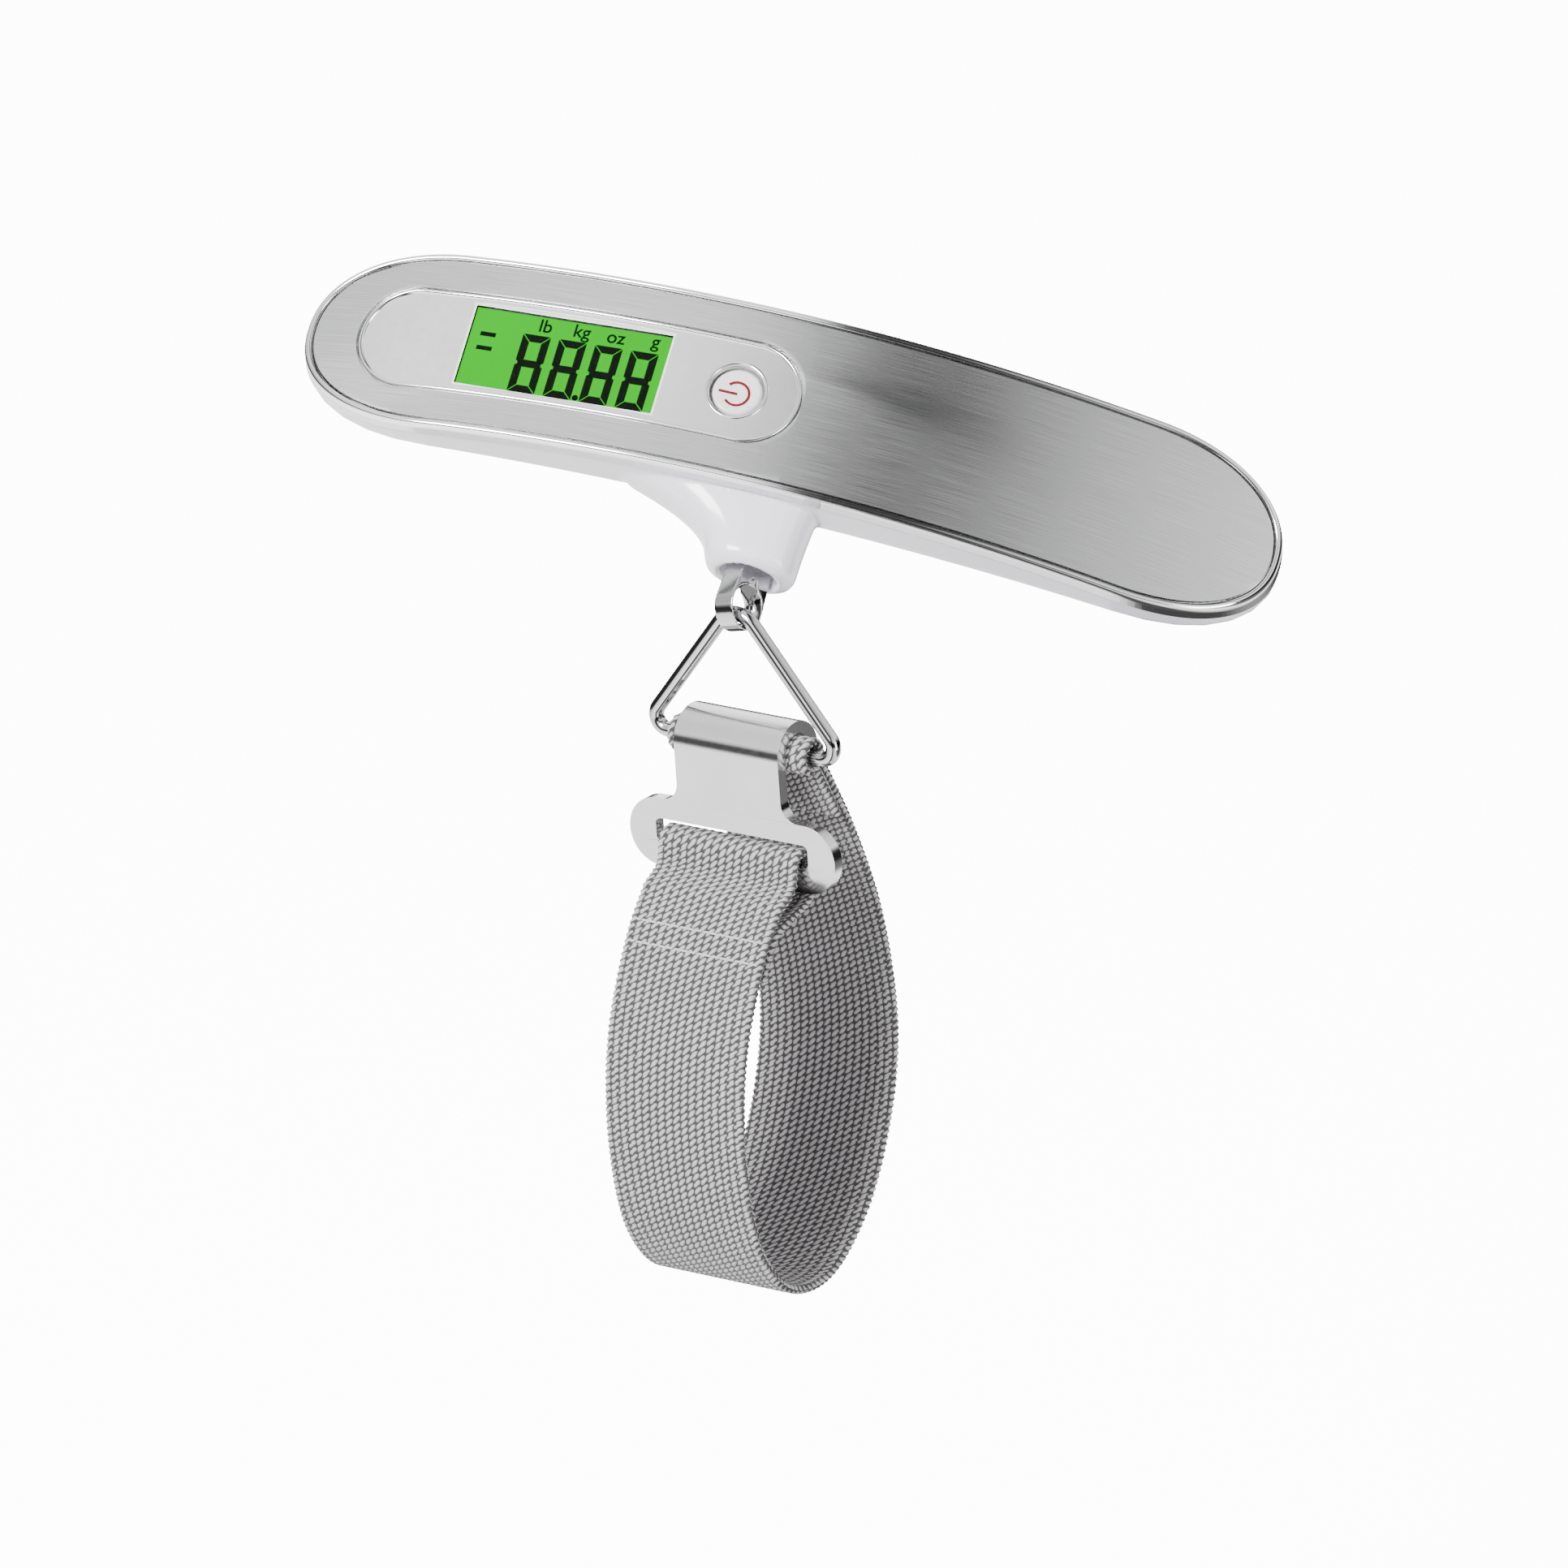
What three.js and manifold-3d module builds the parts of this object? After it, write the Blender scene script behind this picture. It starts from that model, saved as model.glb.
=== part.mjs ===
// A hand-held digital luggage scale: an arched bar with a steel face, a lit display and a power
// button, a neck on its lower side with a swivelling eye, and below that a wire triangle, a hook
// plate and a loop of webbing. Millimetres. +Z is up along the plumb line of the hanging strap.
//
// The bar has its own frame inside the object: x runs along the bar, y runs from the face (y = 0
// at the top of the arch) to the back, and the neck points along -z. The bar is held tipped back,
// so that its face looks up at the reader, while everything below the eye hangs plumb.

import * as THREE from "three";
import { mergeVertices } from "three/addons/utils/BufferGeometryUtils.js";
import Module from "manifold-3d";

const wasm = await Module();
wasm.setup();

// ---------------------------------------------------------------- driving dimensions

// Attitude of the bar and of the strap about the plumb line, in degrees.
const BAR_TIP = -45.5;
const BAR_INCLINE = 14;
const STRAP_SWIVEL = -25;

// Bar.
const BAR_LENGTH = 156;
const BAR_WIDTH = 30;
const BAR_END_LENGTH = 23;
const BAR_DEPTH = 17;
const FACE_RADIUS = 200;
const BACK_RADIUS = 450;
const SHELL_WALL = 1.8;
const SHELL_INSET = 0.3;
const SHELL_CORNER_POWER = 4.2;
const OUTLINE_POWER = 2.2;
const SEAM_GAP = 0.3;

// Clearances between pieces.
const FIT_GAP = 0.3;
const BOND_GAP = 0.2;
const SCREW_CLEARANCE = 0.15;
const RUNNING_GAP = 0.25;

// Front frame and steel face.
const RIM_WIDTH = 1.1;
const RIM_PROUD = 0.35;
const RIM_DEPTH = 3;
const FACE_SHEET = 0.8;
const FRAME_WEB = 1.4;

// Window bezel, lens and display. The display sits left of the middle of the bar.
const BEZEL_LENGTH = 71;
const BEZEL_HEIGHT = 17;
const BEZEL_X = -34;
const BEZEL_RECESS = 0.4;
const BEZEL_LIP = 1.6;
const WINDOW_WIDTH = 33;
const WINDOW_HEIGHT = 14.4;
const WINDOW_X = -36.6;
const LENS_DEPTH = 1.1;
const LENS_THICKNESS = 0.6;
const DISPLAY_TOP_DEPTH = 1.95;
const DISPLAY_GLASS_DEPTH = 3.6;
const DISPLAY_GLASS = 1.2;
const DISPLAY_BORDER = 1.5;
const BOARD_DEPTH = 8.4;
const BOARD_THICKNESS = 1;
const BOARD_WIDTH = 19;
const BOARD_LEFT = -27;
const BOARD_RIGHT = 33.5;
const ZEBRA_WIDTH = 1.8;
const LED_SIZE = 2.4;
const CHIP_SIZE = 7;
const CHIP_HEIGHT = 1.2;

// Power button.
const BUTTON_X = -8.6;
const BUTTON_DIAMETER = 7.8;
const BUTTON_GAP = 0.45;
const BUTTON_RECESS = 0.55;
const BUTTON_FLANGE = 1.3;
const BUTTON_POST_ROOM = 2.7;
const SWITCH_SIZE = 4.5;
const SWITCH_HEIGHT = 0.9;

// Load cell, its gauges and its screws.
const CELL_LEFT = -5;
const CELL_RIGHT = 34;
const CELL_HEIGHT = 10;
const CELL_THICKNESS = 6;
const CELL_RELIEF_RADIUS = 2.6;
const CELL_RELIEF_X = [7.6, 13.4];
const CELL_SCREW_X = [21.5, 29.5];
const CELL_SCREW_RADIUS = 1.4;
const GAUGE_LENGTH = 6;
const GAUGE_THICKNESS = 0.3;

// Neck and swivelling eye.
const HANGER_Y = 10.4;
const NECK_TIP = -26;
const NECK_HALF_WIDTH = 7.3;
const NECK_HALF_DEPTH = 6.5;
const NECK_FLARE_LEFT = 15.5;
const NECK_FLARE_RIGHT = 0.5;
const NECK_WALL = 2;
const NECK_FLOOR = 5;
const NECK_TIP_ROUND = 2.5;
const SHANK_RADIUS = 2;
const EYE_WIDTH = 7.6;
const EYE_THICKNESS = 3.6;
const EYE_LENGTH = 11.4;
const EYE_WIRE_GAP = 0.35;
const EYE_WALL = 1.25;
const EYE_ROUNDING = 1.1;
const EYE_TURN = 55;
const EYE_SOCKET_DEPTH = 2.6;
const WASHER_RADIUS = 4;
const WASHER_THICKNESS = 0.6;
const NUT_RADIUS = 3.7;
const NUT_HEIGHT = 2.8;

// Battery bay in the back of the bar.
const BATTERY_X = 50;
const CELL_BATTERY_RADIUS = 10;
const CELL_BATTERY_HEIGHT = 3.2;
const BAY_CLEARANCE = 0.4;
const BAY_WALL = 1.2;
const DOOR_SINK = 0.7;
const DOOR_THICKNESS = 1.4;
const DOOR_LEDGE = 0.8;
const DOOR_LUG = 1.1;
const DOOR_LUG_ANGLE = 26;
const DOOR_LUGS = 3;
const DOOR_TURN = 40;
const DOOR_SLOT = [12, 1.8, 0.6];
const CONTACT_SHEET = 0.3;

// Screws: case screws at (x, z) in the back, board screws at (x, z) on the board.
const CASE_SCREWS = [
  [-71.2, 0],
  [37.5, -8.9],
  [71.2, 0],
];
const CASE_POST_RADIUS = 2.4;
const CASE_SCREW_RADIUS = 1.1;
const CASE_HEAD_RADIUS = 2.1;
const CASE_HEAD_HEIGHT = 1.3;
const BOARD_SCREWS = [
  [-23.5, 0],
  [BUTTON_X - WINDOW_X - BUTTON_DIAMETER / 2 - BUTTON_POST_ROOM, 4.4],
];
const BOARD_POST_RADIUS = 1.9;
const BOARD_SCREW_RADIUS = 0.8;
const BOARD_HEAD_RADIUS = 1.7;

// Label recess in the middle of the back.
const LABEL_LENGTH = 30;
const LABEL_WIDTH = 15;
const LABEL_X = -14;
const LABEL_FLOOR = 16.5;
const LABEL_CUT = 5;
const LABEL_LEAN = 0.6;

// Webbing.
const WEB_WIDTH = 27;
const WEB_THICKNESS = 1.5;
const WEB_SLOT_CLEARANCE = 1.1;
const LOOP_DROP = 85.5;
const LOOP_FRONT = 25;
const LOOP_BACK = 17;
const FOLD_LENGTH = 15;
const ROLL_LEAVES = -30;

// Triangle link.
const WIRE_RADIUS = 1.2;
const TRIANGLE_SIDE_ROOM = 6;
const TRIANGLE_HALF_BASE = WEB_WIDTH / 2 + TRIANGLE_SIDE_ROOM;
const TRIANGLE_HEIGHT = 21.4;
const TRIANGLE_APEX_BEND = 4;
const TRIANGLE_CORNER_BEND = 2.2;

// Hook plate.
const HOOK_WIDTH = 20;
const HOOK_SHEET = 2;
const HOOK_INNER_RADIUS = 3.25;
const HOOK_LIP_ANGLE = 195;
const HOOK_WING_ROOM = 6.25;
const HOOK_WING_SPAN = WEB_WIDTH + 2 * HOOK_WING_ROOM;
const HOOK_WING_RADIUS = 5.6;
const HOOK_WING_DROP = 15;
const HOOK_NECK_FILLET = 3;
const HOOK_SLOT_HEIGHT = 3.8;
const HOOK_SLOT_RAISE = 0.4;

// Mesh fineness.
const ARC_STEPS = 14;
const ROUND_SIDES = 24;
const SMALL_SIDES = 16;

// ---------------------------------------------------------------- helpers

const radians = THREE.MathUtils.degToRad;

function solidOf(geometry) {
  const bare = geometry.clone();
  bare.deleteAttribute("normal");
  bare.deleteAttribute("uv");
  const merged = mergeVertices(bare, 1e-4);
  const solid = new wasm.Manifold(
    new wasm.Mesh({
      numProp: 3,
      vertProperties: new Float32Array(merged.attributes.position.array),
      triVerts: new Uint32Array(merged.index.array),
    }),
  );
  return solid;
}

function geometryOf(solid) {
  const mesh = solid.getMesh();
  const geometry = new THREE.BufferGeometry();
  geometry.setAttribute("position", new THREE.BufferAttribute(mesh.vertProperties, 3));
  geometry.setIndex(new THREE.BufferAttribute(mesh.triVerts, 1));
  const flat = geometry.toNonIndexed();
  flat.computeVertexNormals();
  return flat;
}

const join = (...geometries) =>
  geometryOf(geometries.map(solidOf).reduce((sum, next) => sum.add(next)));

const cut = (geometry, ...tools) =>
  geometryOf(tools.map(solidOf).reduce((rest, tool) => rest.subtract(tool), solidOf(geometry)));

const common = (first, second) => geometryOf(solidOf(first).intersect(solidOf(second)));

function mesh(name, geometry, material) {
  const made = new THREE.Mesh(geometry, material);
  made.name = name;
  return made;
}

const finish = (colour, roughness, metalness) =>
  new THREE.MeshStandardMaterial({ color: colour, roughness, metalness });

const moved = (geometry, x, y, z) => geometry.clone().translate(x, y, z);

function box(x0, x1, y0, y1, z0, z1) {
  const made = new THREE.BoxGeometry(x1 - x0, y1 - y0, z1 - z0);
  return made.translate((x0 + x1) / 2, (y0 + y1) / 2, (z0 + z1) / 2);
}

// A solid of revolution about the y axis; the profile lists [radius, y] with y rising.
const turned = (profile, sides = ROUND_SIDES) =>
  new THREE.LatheGeometry(
    profile.map(([radius, y]) => new THREE.Vector2(radius, y)),
    sides,
  );

const rodAlongY = (radius, y0, y1, sides = ROUND_SIDES) =>
  turned([[0, y0], [radius, y0], [radius, y1], [0, y1]], sides);

const rodAlongZ = (radius, z0, z1, sides = ROUND_SIDES) =>
  rodAlongY(radius, z0, z1, sides).rotateX(Math.PI / 2);

// A shape drawn in x and z, pushed from y0 to y1.
function prismAlongY(shape, y0, y1) {
  const made = new THREE.ExtrudeGeometry(shape, { depth: y1 - y0, bevelEnabled: false });
  return made.rotateX(Math.PI / 2).translate(0, y1, 0);
}

// A shape drawn in x and y, pushed from z0 to z1.
function prismAlongZ(shape, z0, z1) {
  const made = new THREE.ExtrudeGeometry(shape, { depth: z1 - z0, bevelEnabled: false });
  return made.translate(0, 0, z0);
}

// A shape drawn in y and z, pushed equally to both sides of x = 0.
function prismAlongX(shape, width) {
  const made = new THREE.ExtrudeGeometry(shape, { depth: width, bevelEnabled: false });
  made.translate(0, 0, -width / 2);
  return made.applyMatrix4(new THREE.Matrix4().set(0, 0, 1, 0, 1, 0, 0, 0, 0, 1, 0, 0, 0, 0, 0, 1));
}

const shapeOf = (points) => new THREE.Shape(points.map(([a, b]) => new THREE.Vector2(a, b)));

function arcPoints(cx, cy, radius, from, to, steps) {
  const points = [];
  for (let i = 0; i <= steps; i += 1) {
    const angle = radians(from + ((to - from) * i) / steps);
    points.push([cx + radius * Math.cos(angle), cy + radius * Math.sin(angle)]);
  }
  return points;
}

// Rings of points, all of one length, joined into one closed skin.
function loft(rings) {
  const positions = [];
  const indices = [];
  const count = rings[0].length;
  rings.forEach((ring) => ring.forEach((point) => positions.push(...point)));
  for (let i = 0; i < rings.length - 1; i += 1) {
    for (let j = 0; j < count; j += 1) {
      const a = i * count + j;
      const b = i * count + ((j + 1) % count);
      indices.push(a, b, a + count, b, b + count, a + count);
    }
  }
  [rings[0], rings[rings.length - 1]].forEach((ring, last) => {
    const centre = positions.length / 3;
    const sum = ring.reduce((acc, p) => acc.map((value, k) => value + p[k]), [0, 0, 0]);
    positions.push(...sum.map((value) => value / count));
    const start = last ? (rings.length - 1) * count : 0;
    for (let j = 0; j < count; j += 1) {
      const a = start + j;
      const b = start + ((j + 1) % count);
      if (last) indices.push(a, b, centre);
      else indices.push(b, a, centre);
    }
  });
  const geometry = new THREE.BufferGeometry();
  geometry.setAttribute("position", new THREE.Float32BufferAttribute(positions, 3));
  geometry.setIndex(indices);
  return geometry;
}

const signedPower = (value, power) => Math.sign(value) * Math.abs(value) ** power;

// ---------------------------------------------------------------- the bar's own surfaces

// Depth of a surface that runs at a given depth under the arched face, at x along the bar.
const faceY = (x, depth = 0) =>
  FACE_RADIUS - Math.sqrt((FACE_RADIUS - depth) ** 2 - Math.min(Math.abs(x), FACE_RADIUS / 2) ** 2);

const backY = (x) => BAR_DEPTH + (x * x) / (2 * BACK_RADIUS);

// Frame on the arched face at x: local x along the face, local y straight in, z unchanged.
function faceFrame(x) {
  const angle = Math.asin(x / FACE_RADIUS);
  const turn = new THREE.Matrix4().makeRotationZ(angle);
  return turn.setPosition(x, faceY(x), 0);
}

// Frame on the back at x: local y points straight out of the back.
function backFrame(x) {
  const turn = new THREE.Matrix4().makeRotationZ(Math.atan(x / BACK_RADIUS));
  return turn.setPosition(x, backY(x), 0);
}

// The bar's outline in x and z, pulled in by a margin: straight sides and full round ends.
function barOutline(margin) {
  const halfLength = BAR_LENGTH / 2 - margin;
  const halfWidth = BAR_WIDTH / 2 - margin;
  const end = BAR_END_LENGTH - margin;
  const points = [];
  for (const side of [1, -1]) {
    for (let i = 0; i <= ROUND_SIDES; i += 1) {
      const angle = (Math.PI * i) / ROUND_SIDES - Math.PI / 2;
      const x = halfLength - end + end * Math.abs(Math.cos(angle)) ** (2 / OUTLINE_POWER);
      const z = halfWidth * signedPower(Math.sin(angle), 2 / OUTLINE_POWER);
      points.push([side * x, side * z]);
    }
  }
  return shapeOf(points);
}

function stadium(x, length, height) {
  const radius = height / 2;
  const reach = length / 2 - radius;
  return shapeOf([
    ...arcPoints(x + reach, 0, radius, -90, 90, SMALL_SIDES),
    ...arcPoints(x - reach, 0, radius, 90, 270, SMALL_SIDES),
  ]);
}

// The space between two depths under the arched face.
function faceSlab(from, to) {
  const reach = BAR_LENGTH / 2 + 4;
  const row = (depth) =>
    Array.from({ length: ARC_STEPS * 2 + 1 }, (_, i) => {
      const x = reach * (i / ARC_STEPS - 1);
      return [x, faceY(x, depth)];
    });
  const outline = shapeOf([...row(from), ...row(to).reverse()]);
  return prismAlongZ(outline, -BAR_WIDTH, BAR_WIDTH);
}

const THROUGH = 60;
const throughFace = (shape) => prismAlongY(shape, -THROUGH / 2, THROUGH);
const inFaceFrame = (geometry, x) => geometry.applyMatrix4(faceFrame(x));
const inBackFrame = (geometry, x) => geometry.applyMatrix4(backFrame(x));

// ---------------------------------------------------------------- face and frame

const WEB_TOP = FACE_SHEET + BOND_GAP;
const WEB_BOTTOM = WEB_TOP + FRAME_WEB;
const BEZEL_BOTTOM = WEB_BOTTOM;
const BEZEL_SEAT = WEB_TOP - BOND_GAP;

function steelFacePlate() {
  const margin = RIM_WIDTH + FIT_GAP;
  const blank = common(throughFace(barOutline(margin)), faceSlab(0, FACE_SHEET));
  const opening = stadium(BEZEL_X, BEZEL_LENGTH + 2 * FIT_GAP, BEZEL_HEIGHT + 2 * FIT_GAP);
  return cut(blank, throughFace(opening));
}

function frontFrame() {
  const ring = cut(throughFace(barOutline(0)), throughFace(barOutline(RIM_WIDTH)));
  const rim = common(ring, faceSlab(-RIM_PROUD, RIM_DEPTH));
  const web = common(throughFace(barOutline(RIM_WIDTH / 2)), faceSlab(WEB_TOP, WEB_BOTTOM));
  const plug = 2 * (BEZEL_LIP - FIT_GAP);
  const opening = stadium(BEZEL_X, BEZEL_LENGTH - plug, BEZEL_HEIGHT - plug);
  const posts = CASE_SCREWS.map(([x, z]) => {
    const from = faceY(x, WEB_TOP + FRAME_WEB / 2);
    const to = caseSeatY(x) - FIT_GAP;
    return moved(rodAlongY(CASE_POST_RADIUS, from, to, SMALL_SIDES), x, 0, z);
  });
  const holes = CASE_SCREWS.map(([x, z]) => {
    const from = faceY(x, WEB_BOTTOM + SCREW_CLEARANCE);
    const hole = rodAlongY(CASE_SCREW_RADIUS + SCREW_CLEARANCE, from, THROUGH, SMALL_SIDES);
    return moved(hole, x, 0, z);
  });
  const reliefRadius = GROOVE_RADIUS + BAY_WALL + FIT_GAP;
  const relief = rodAlongY(reliefRadius, BAY_FLOOR - BAY_WALL - FIT_GAP, 0);
  return cut(
    join(rim, cut(web, throughFace(opening)), ...posts),
    inBackFrame(relief, BATTERY_X),
    ...holes,
  );
}

function windowBezel() {
  const face = common(
    throughFace(stadium(BEZEL_X, BEZEL_LENGTH, BEZEL_HEIGHT)),
    faceSlab(BEZEL_RECESS, BEZEL_SEAT),
  );
  const plugOutline = stadium(BEZEL_X, BEZEL_LENGTH - 2 * BEZEL_LIP, BEZEL_HEIGHT - 2 * BEZEL_LIP);
  const plug = common(throughFace(plugOutline), faceSlab(BEZEL_RECESS + BOND_GAP, BEZEL_BOTTOM));
  const posts = BOARD_SCREWS.map(([x, z]) => {
    const post = rodAlongY(BOARD_POST_RADIUS, BEZEL_BOTTOM, BOARD_DEPTH - FIT_GAP, SMALL_SIDES);
    return inFaceFrame(moved(post, x, 0, z), WINDOW_X);
  });
  const postHoles = BOARD_SCREWS.map(([x, z]) => {
    const radius = BOARD_SCREW_RADIUS + SCREW_CLEARANCE;
    const hole = rodAlongY(radius, BOARD_DEPTH - 3.6, BOARD_DEPTH + 1, SMALL_SIDES);
    return inFaceFrame(moved(hole, x, 0, z), WINDOW_X);
  });
  const halfWidth = WINDOW_WIDTH / 2;
  const halfHeight = WINDOW_HEIGHT / 2;
  const window = box(-halfWidth, halfWidth, -3, 6, -halfHeight, halfHeight);
  const hole = rodAlongY(BUTTON_DIAMETER / 2 + BUTTON_GAP, -3, 5);
  return cut(
    join(face, plug, ...posts),
    inFaceFrame(window, WINDOW_X),
    inFaceFrame(hole, BUTTON_X),
    ...postHoles,
  );
}

// ---------------------------------------------------------------- back shell with its neck

const SHELL_TOP = RIM_DEPTH + SEAM_GAP;

// One cross-section of the shell at x: straight-sided at the front, rounded into a flat back.
function shellRing(x, halfLength, halfWidth, end, wall, openBy) {
  const past = Math.min(1, Math.max(0, (Math.abs(x) - (halfLength - end)) / end));
  const halfHeight = halfWidth * (1 - past ** OUTLINE_POWER) ** (1 / OUTLINE_POWER);
  const front = faceY(x, SHELL_TOP);
  const depth = (backY(x) - wall - front) * (0.35 + 0.65 * (1 - past ** 4) ** 0.25);
  const steps = 16;
  const ring = [];
  for (let i = 0; i <= steps; i += 1) {
    const angle = Math.PI * (1 - i / steps);
    const z = halfHeight * signedPower(Math.cos(angle), 2 / SHELL_CORNER_POWER);
    const y = front + depth * Math.abs(Math.sin(angle)) ** (2 / SHELL_CORNER_POWER);
    ring.push([x, y, z]);
  }
  if (openBy > 0) {
    ring.push([x, front - openBy, halfHeight]);
    ring.push([x, front - openBy, -halfHeight]);
  }
  return ring;
}

// The tray's skin as cross-sections along the bar, closer together round the two ends.
function shellLoft(wall, openBy) {
  const inset = SHELL_INSET + wall;
  const halfLength = BAR_LENGTH / 2 - inset;
  const halfWidth = BAR_WIDTH / 2 - inset;
  const end = BAR_END_LENGTH - inset;
  const straight = halfLength - end;
  const endSteps = 7;
  const left = Array.from({ length: endSteps + 1 }, (_, i) => {
    const angle = Math.max(0.09, (Math.PI * i) / (2 * endSteps));
    return -straight - end * Math.cos(angle);
  });
  const middle = Array.from({ length: ARC_STEPS - 1 }, (_, i) => {
    return straight * ((2 * (i + 1)) / ARC_STEPS - 1);
  });
  const right = left.map((x) => -x).reverse();
  return loft(
    [...left, ...middle, ...right].map((x) =>
      shellRing(x, halfLength, halfWidth, end, wall, openBy),
    ),
  );
}

// The neck: round at the tip, flaring into the bar's lower side, wider to the left.
function neckLoft(wall, tip) {
  const root = -BAR_WIDTH / 2 + SHELL_INSET;
  const reach = root - NECK_TIP;
  const steps = 15;
  const rings = [];
  const top = 4;
  const levels = [root + top];
  for (let i = 0; i <= steps; i += 1) levels.push(root + (tip - root) * (i / steps));
  levels.forEach((z) => {
    const along = Math.min(1, Math.max(0, (root - z) / reach));
    const flare = (1 - along) ** 2.6;
    const toTip = Math.max(0, z - NECK_TIP);
    const rounding =
      toTip < NECK_TIP_ROUND
        ? NECK_TIP_ROUND - Math.sqrt(NECK_TIP_ROUND ** 2 - (NECK_TIP_ROUND - toTip) ** 2)
        : 0;
    const left = NECK_HALF_WIDTH + NECK_FLARE_LEFT * flare - rounding * 0.7 - wall;
    const right = NECK_HALF_WIDTH + NECK_FLARE_RIGHT * flare - rounding * 0.7 - wall;
    const depth = NECK_HALF_DEPTH - rounding * 0.7 - wall;
    const sides = 22;
    const ring = [];
    for (let j = 0; j < sides; j += 1) {
      const angle = (-2 * Math.PI * j) / sides;
      const across = signedPower(Math.cos(angle), 0.8);
      const x = across * (across > 0 ? right : left);
      ring.push([x, HANGER_Y + depth * signedPower(Math.sin(angle), 0.8), z]);
    }
    rings.push(ring);
  });
  return loft(rings);
}

// Where the head of a case screw bears, measured from the front.
const caseSeatY = (x) => backY(x) - (Math.abs(x) > BATTERY_X ? 2.9 : 2.2) - CASE_HEAD_HEIGHT;

const BAY_RADIUS = CELL_BATTERY_RADIUS + BAY_CLEARANCE;
const DOOR_RADIUS = BAY_RADIUS + DOOR_LEDGE;
const GROOVE_RADIUS = BAY_RADIUS + DOOR_LUG + FIT_GAP;
const LUG_TOP = -DOOR_SINK - DOOR_THICKNESS - DOOR_LEDGE;
const LUG_BOTTOM = LUG_TOP - DOOR_LEDGE;
const BAY_FLOOR = LUG_BOTTOM - CELL_BATTERY_HEIGHT - 2 * FIT_GAP - CONTACT_SHEET;

function doorSector(radius, y0, y1, centre, spread) {
  const outline = shapeOf([[0, 0], ...arcPoints(0, 0, radius, centre - spread, centre + spread, 6)]);
  return prismAlongY(outline, y0, y1);
}

function batteryBay() {
  const body = rodAlongY(GROOVE_RADIUS + BAY_WALL, BAY_FLOOR - BAY_WALL, -DOOR_SINK - 1.2);
  return inBackFrame(body, BATTERY_X);
}

function batteryBayCuts() {
  const ledge = -DOOR_SINK - DOOR_THICKNESS - FIT_GAP;
  const seat = rodAlongY(DOOR_RADIUS + FIT_GAP, ledge, 5);
  const well = rodAlongY(BAY_RADIUS, BAY_FLOOR, 1);
  const groove = rodAlongY(GROOVE_RADIUS, LUG_BOTTOM - FIT_GAP, LUG_TOP + FIT_GAP);
  const entries = [];
  for (let i = 0; i < DOOR_LUGS; i += 1) {
    const centre = (360 * i) / DOOR_LUGS - DOOR_TURN;
    const spread = DOOR_LUG_ANGLE / 2 + 2;
    entries.push(doorSector(GROOVE_RADIUS - 0.1, LUG_BOTTOM, 1, centre, spread));
  }
  return [seat, well, groove, ...entries].map((tool) => inBackFrame(tool, BATTERY_X));
}

// The label's seat is flat, with walls that lean outwards a little.
function labelRecess() {
  const ring = (y, lean) => {
    const x = LABEL_LENGTH / 2 + lean;
    const z = LABEL_WIDTH / 2 + lean;
    const corners = [[-x, -z], [-x, z], [x, z], [x, -z]];
    return corners.map(([along, up]) => [LABEL_X + along, y, up]);
  };
  return loft([ring(LABEL_FLOOR, 0), ring(BAR_DEPTH + LABEL_CUT, LABEL_LEAN)]);
}

function backShell() {
  const skin = join(shellLoft(0, 0), neckLoft(0, NECK_TIP));
  const hollow = join(shellLoft(SHELL_WALL, 4), neckLoft(NECK_WALL, NECK_TIP + NECK_FLOOR));
  const tray = cut(skin, hollow);
  const cellBack = HANGER_Y + CELL_THICKNESS / 2 + FIT_GAP;
  const bosses = CELL_SCREW_X.map((x) =>
    moved(rodAlongY(3, cellBack, backY(x) - SHELL_WALL / 2, SMALL_SIDES), x, 0, 0),
  );
  const bossHoles = CELL_SCREW_X.map((x) => {
    const radius = CELL_SCREW_RADIUS + SCREW_CLEARANCE;
    return moved(rodAlongY(radius, 0, backY(x) - 0.7, SMALL_SIDES), x, 0, 0);
  });
  const sleeves = CASE_SCREWS.map(([x, z]) => {
    const seat = caseSeatY(x);
    const top = backY(x) - SHELL_WALL / 2 - (Math.abs(x) > BATTERY_X ? 1 : 0);
    return moved(rodAlongY(CASE_POST_RADIUS + 0.8, seat, top, SMALL_SIDES), x, 0, z);
  });
  const screwHoles = CASE_SCREWS.flatMap(([x, z]) => {
    const seat = caseSeatY(x) + SHELL_WALL / 2;
    const head = rodAlongY(CASE_HEAD_RADIUS + FIT_GAP, seat, THROUGH, SMALL_SIDES);
    const shaft = rodAlongY(CASE_SCREW_RADIUS + SCREW_CLEARANCE, seat - 5, THROUGH, SMALL_SIDES);
    return [moved(head, x, 0, z), moved(shaft, x, 0, z)];
  });
  const bore = rodAlongZ(SHANK_RADIUS + RUNNING_GAP, -THROUGH, 0);
  const socketRadius = Math.hypot(EYE_WIDTH, EYE_THICKNESS) / 2 + FIT_GAP;
  const socket = rodAlongZ(socketRadius, NECK_TIP - 5, NECK_TIP + EYE_SOCKET_DEPTH + FIT_GAP);
  return cut(
    join(tray, batteryBay(), ...bosses, ...sleeves),
    ...batteryBayCuts(),
    ...bossHoles,
    ...screwHoles,
    moved(bore, 0, HANGER_Y, 0),
    moved(socket, 0, HANGER_Y, 0),
    labelRecess(),
  );
}

// ---------------------------------------------------------------- display, board and button

const lensSize = [WINDOW_WIDTH - 2 * FIT_GAP, WINDOW_HEIGHT - 2 * FIT_GAP];

function block(width, height, from, to) {
  return box(-width / 2, width / 2, from, to, -height / 2, height / 2);
}

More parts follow.
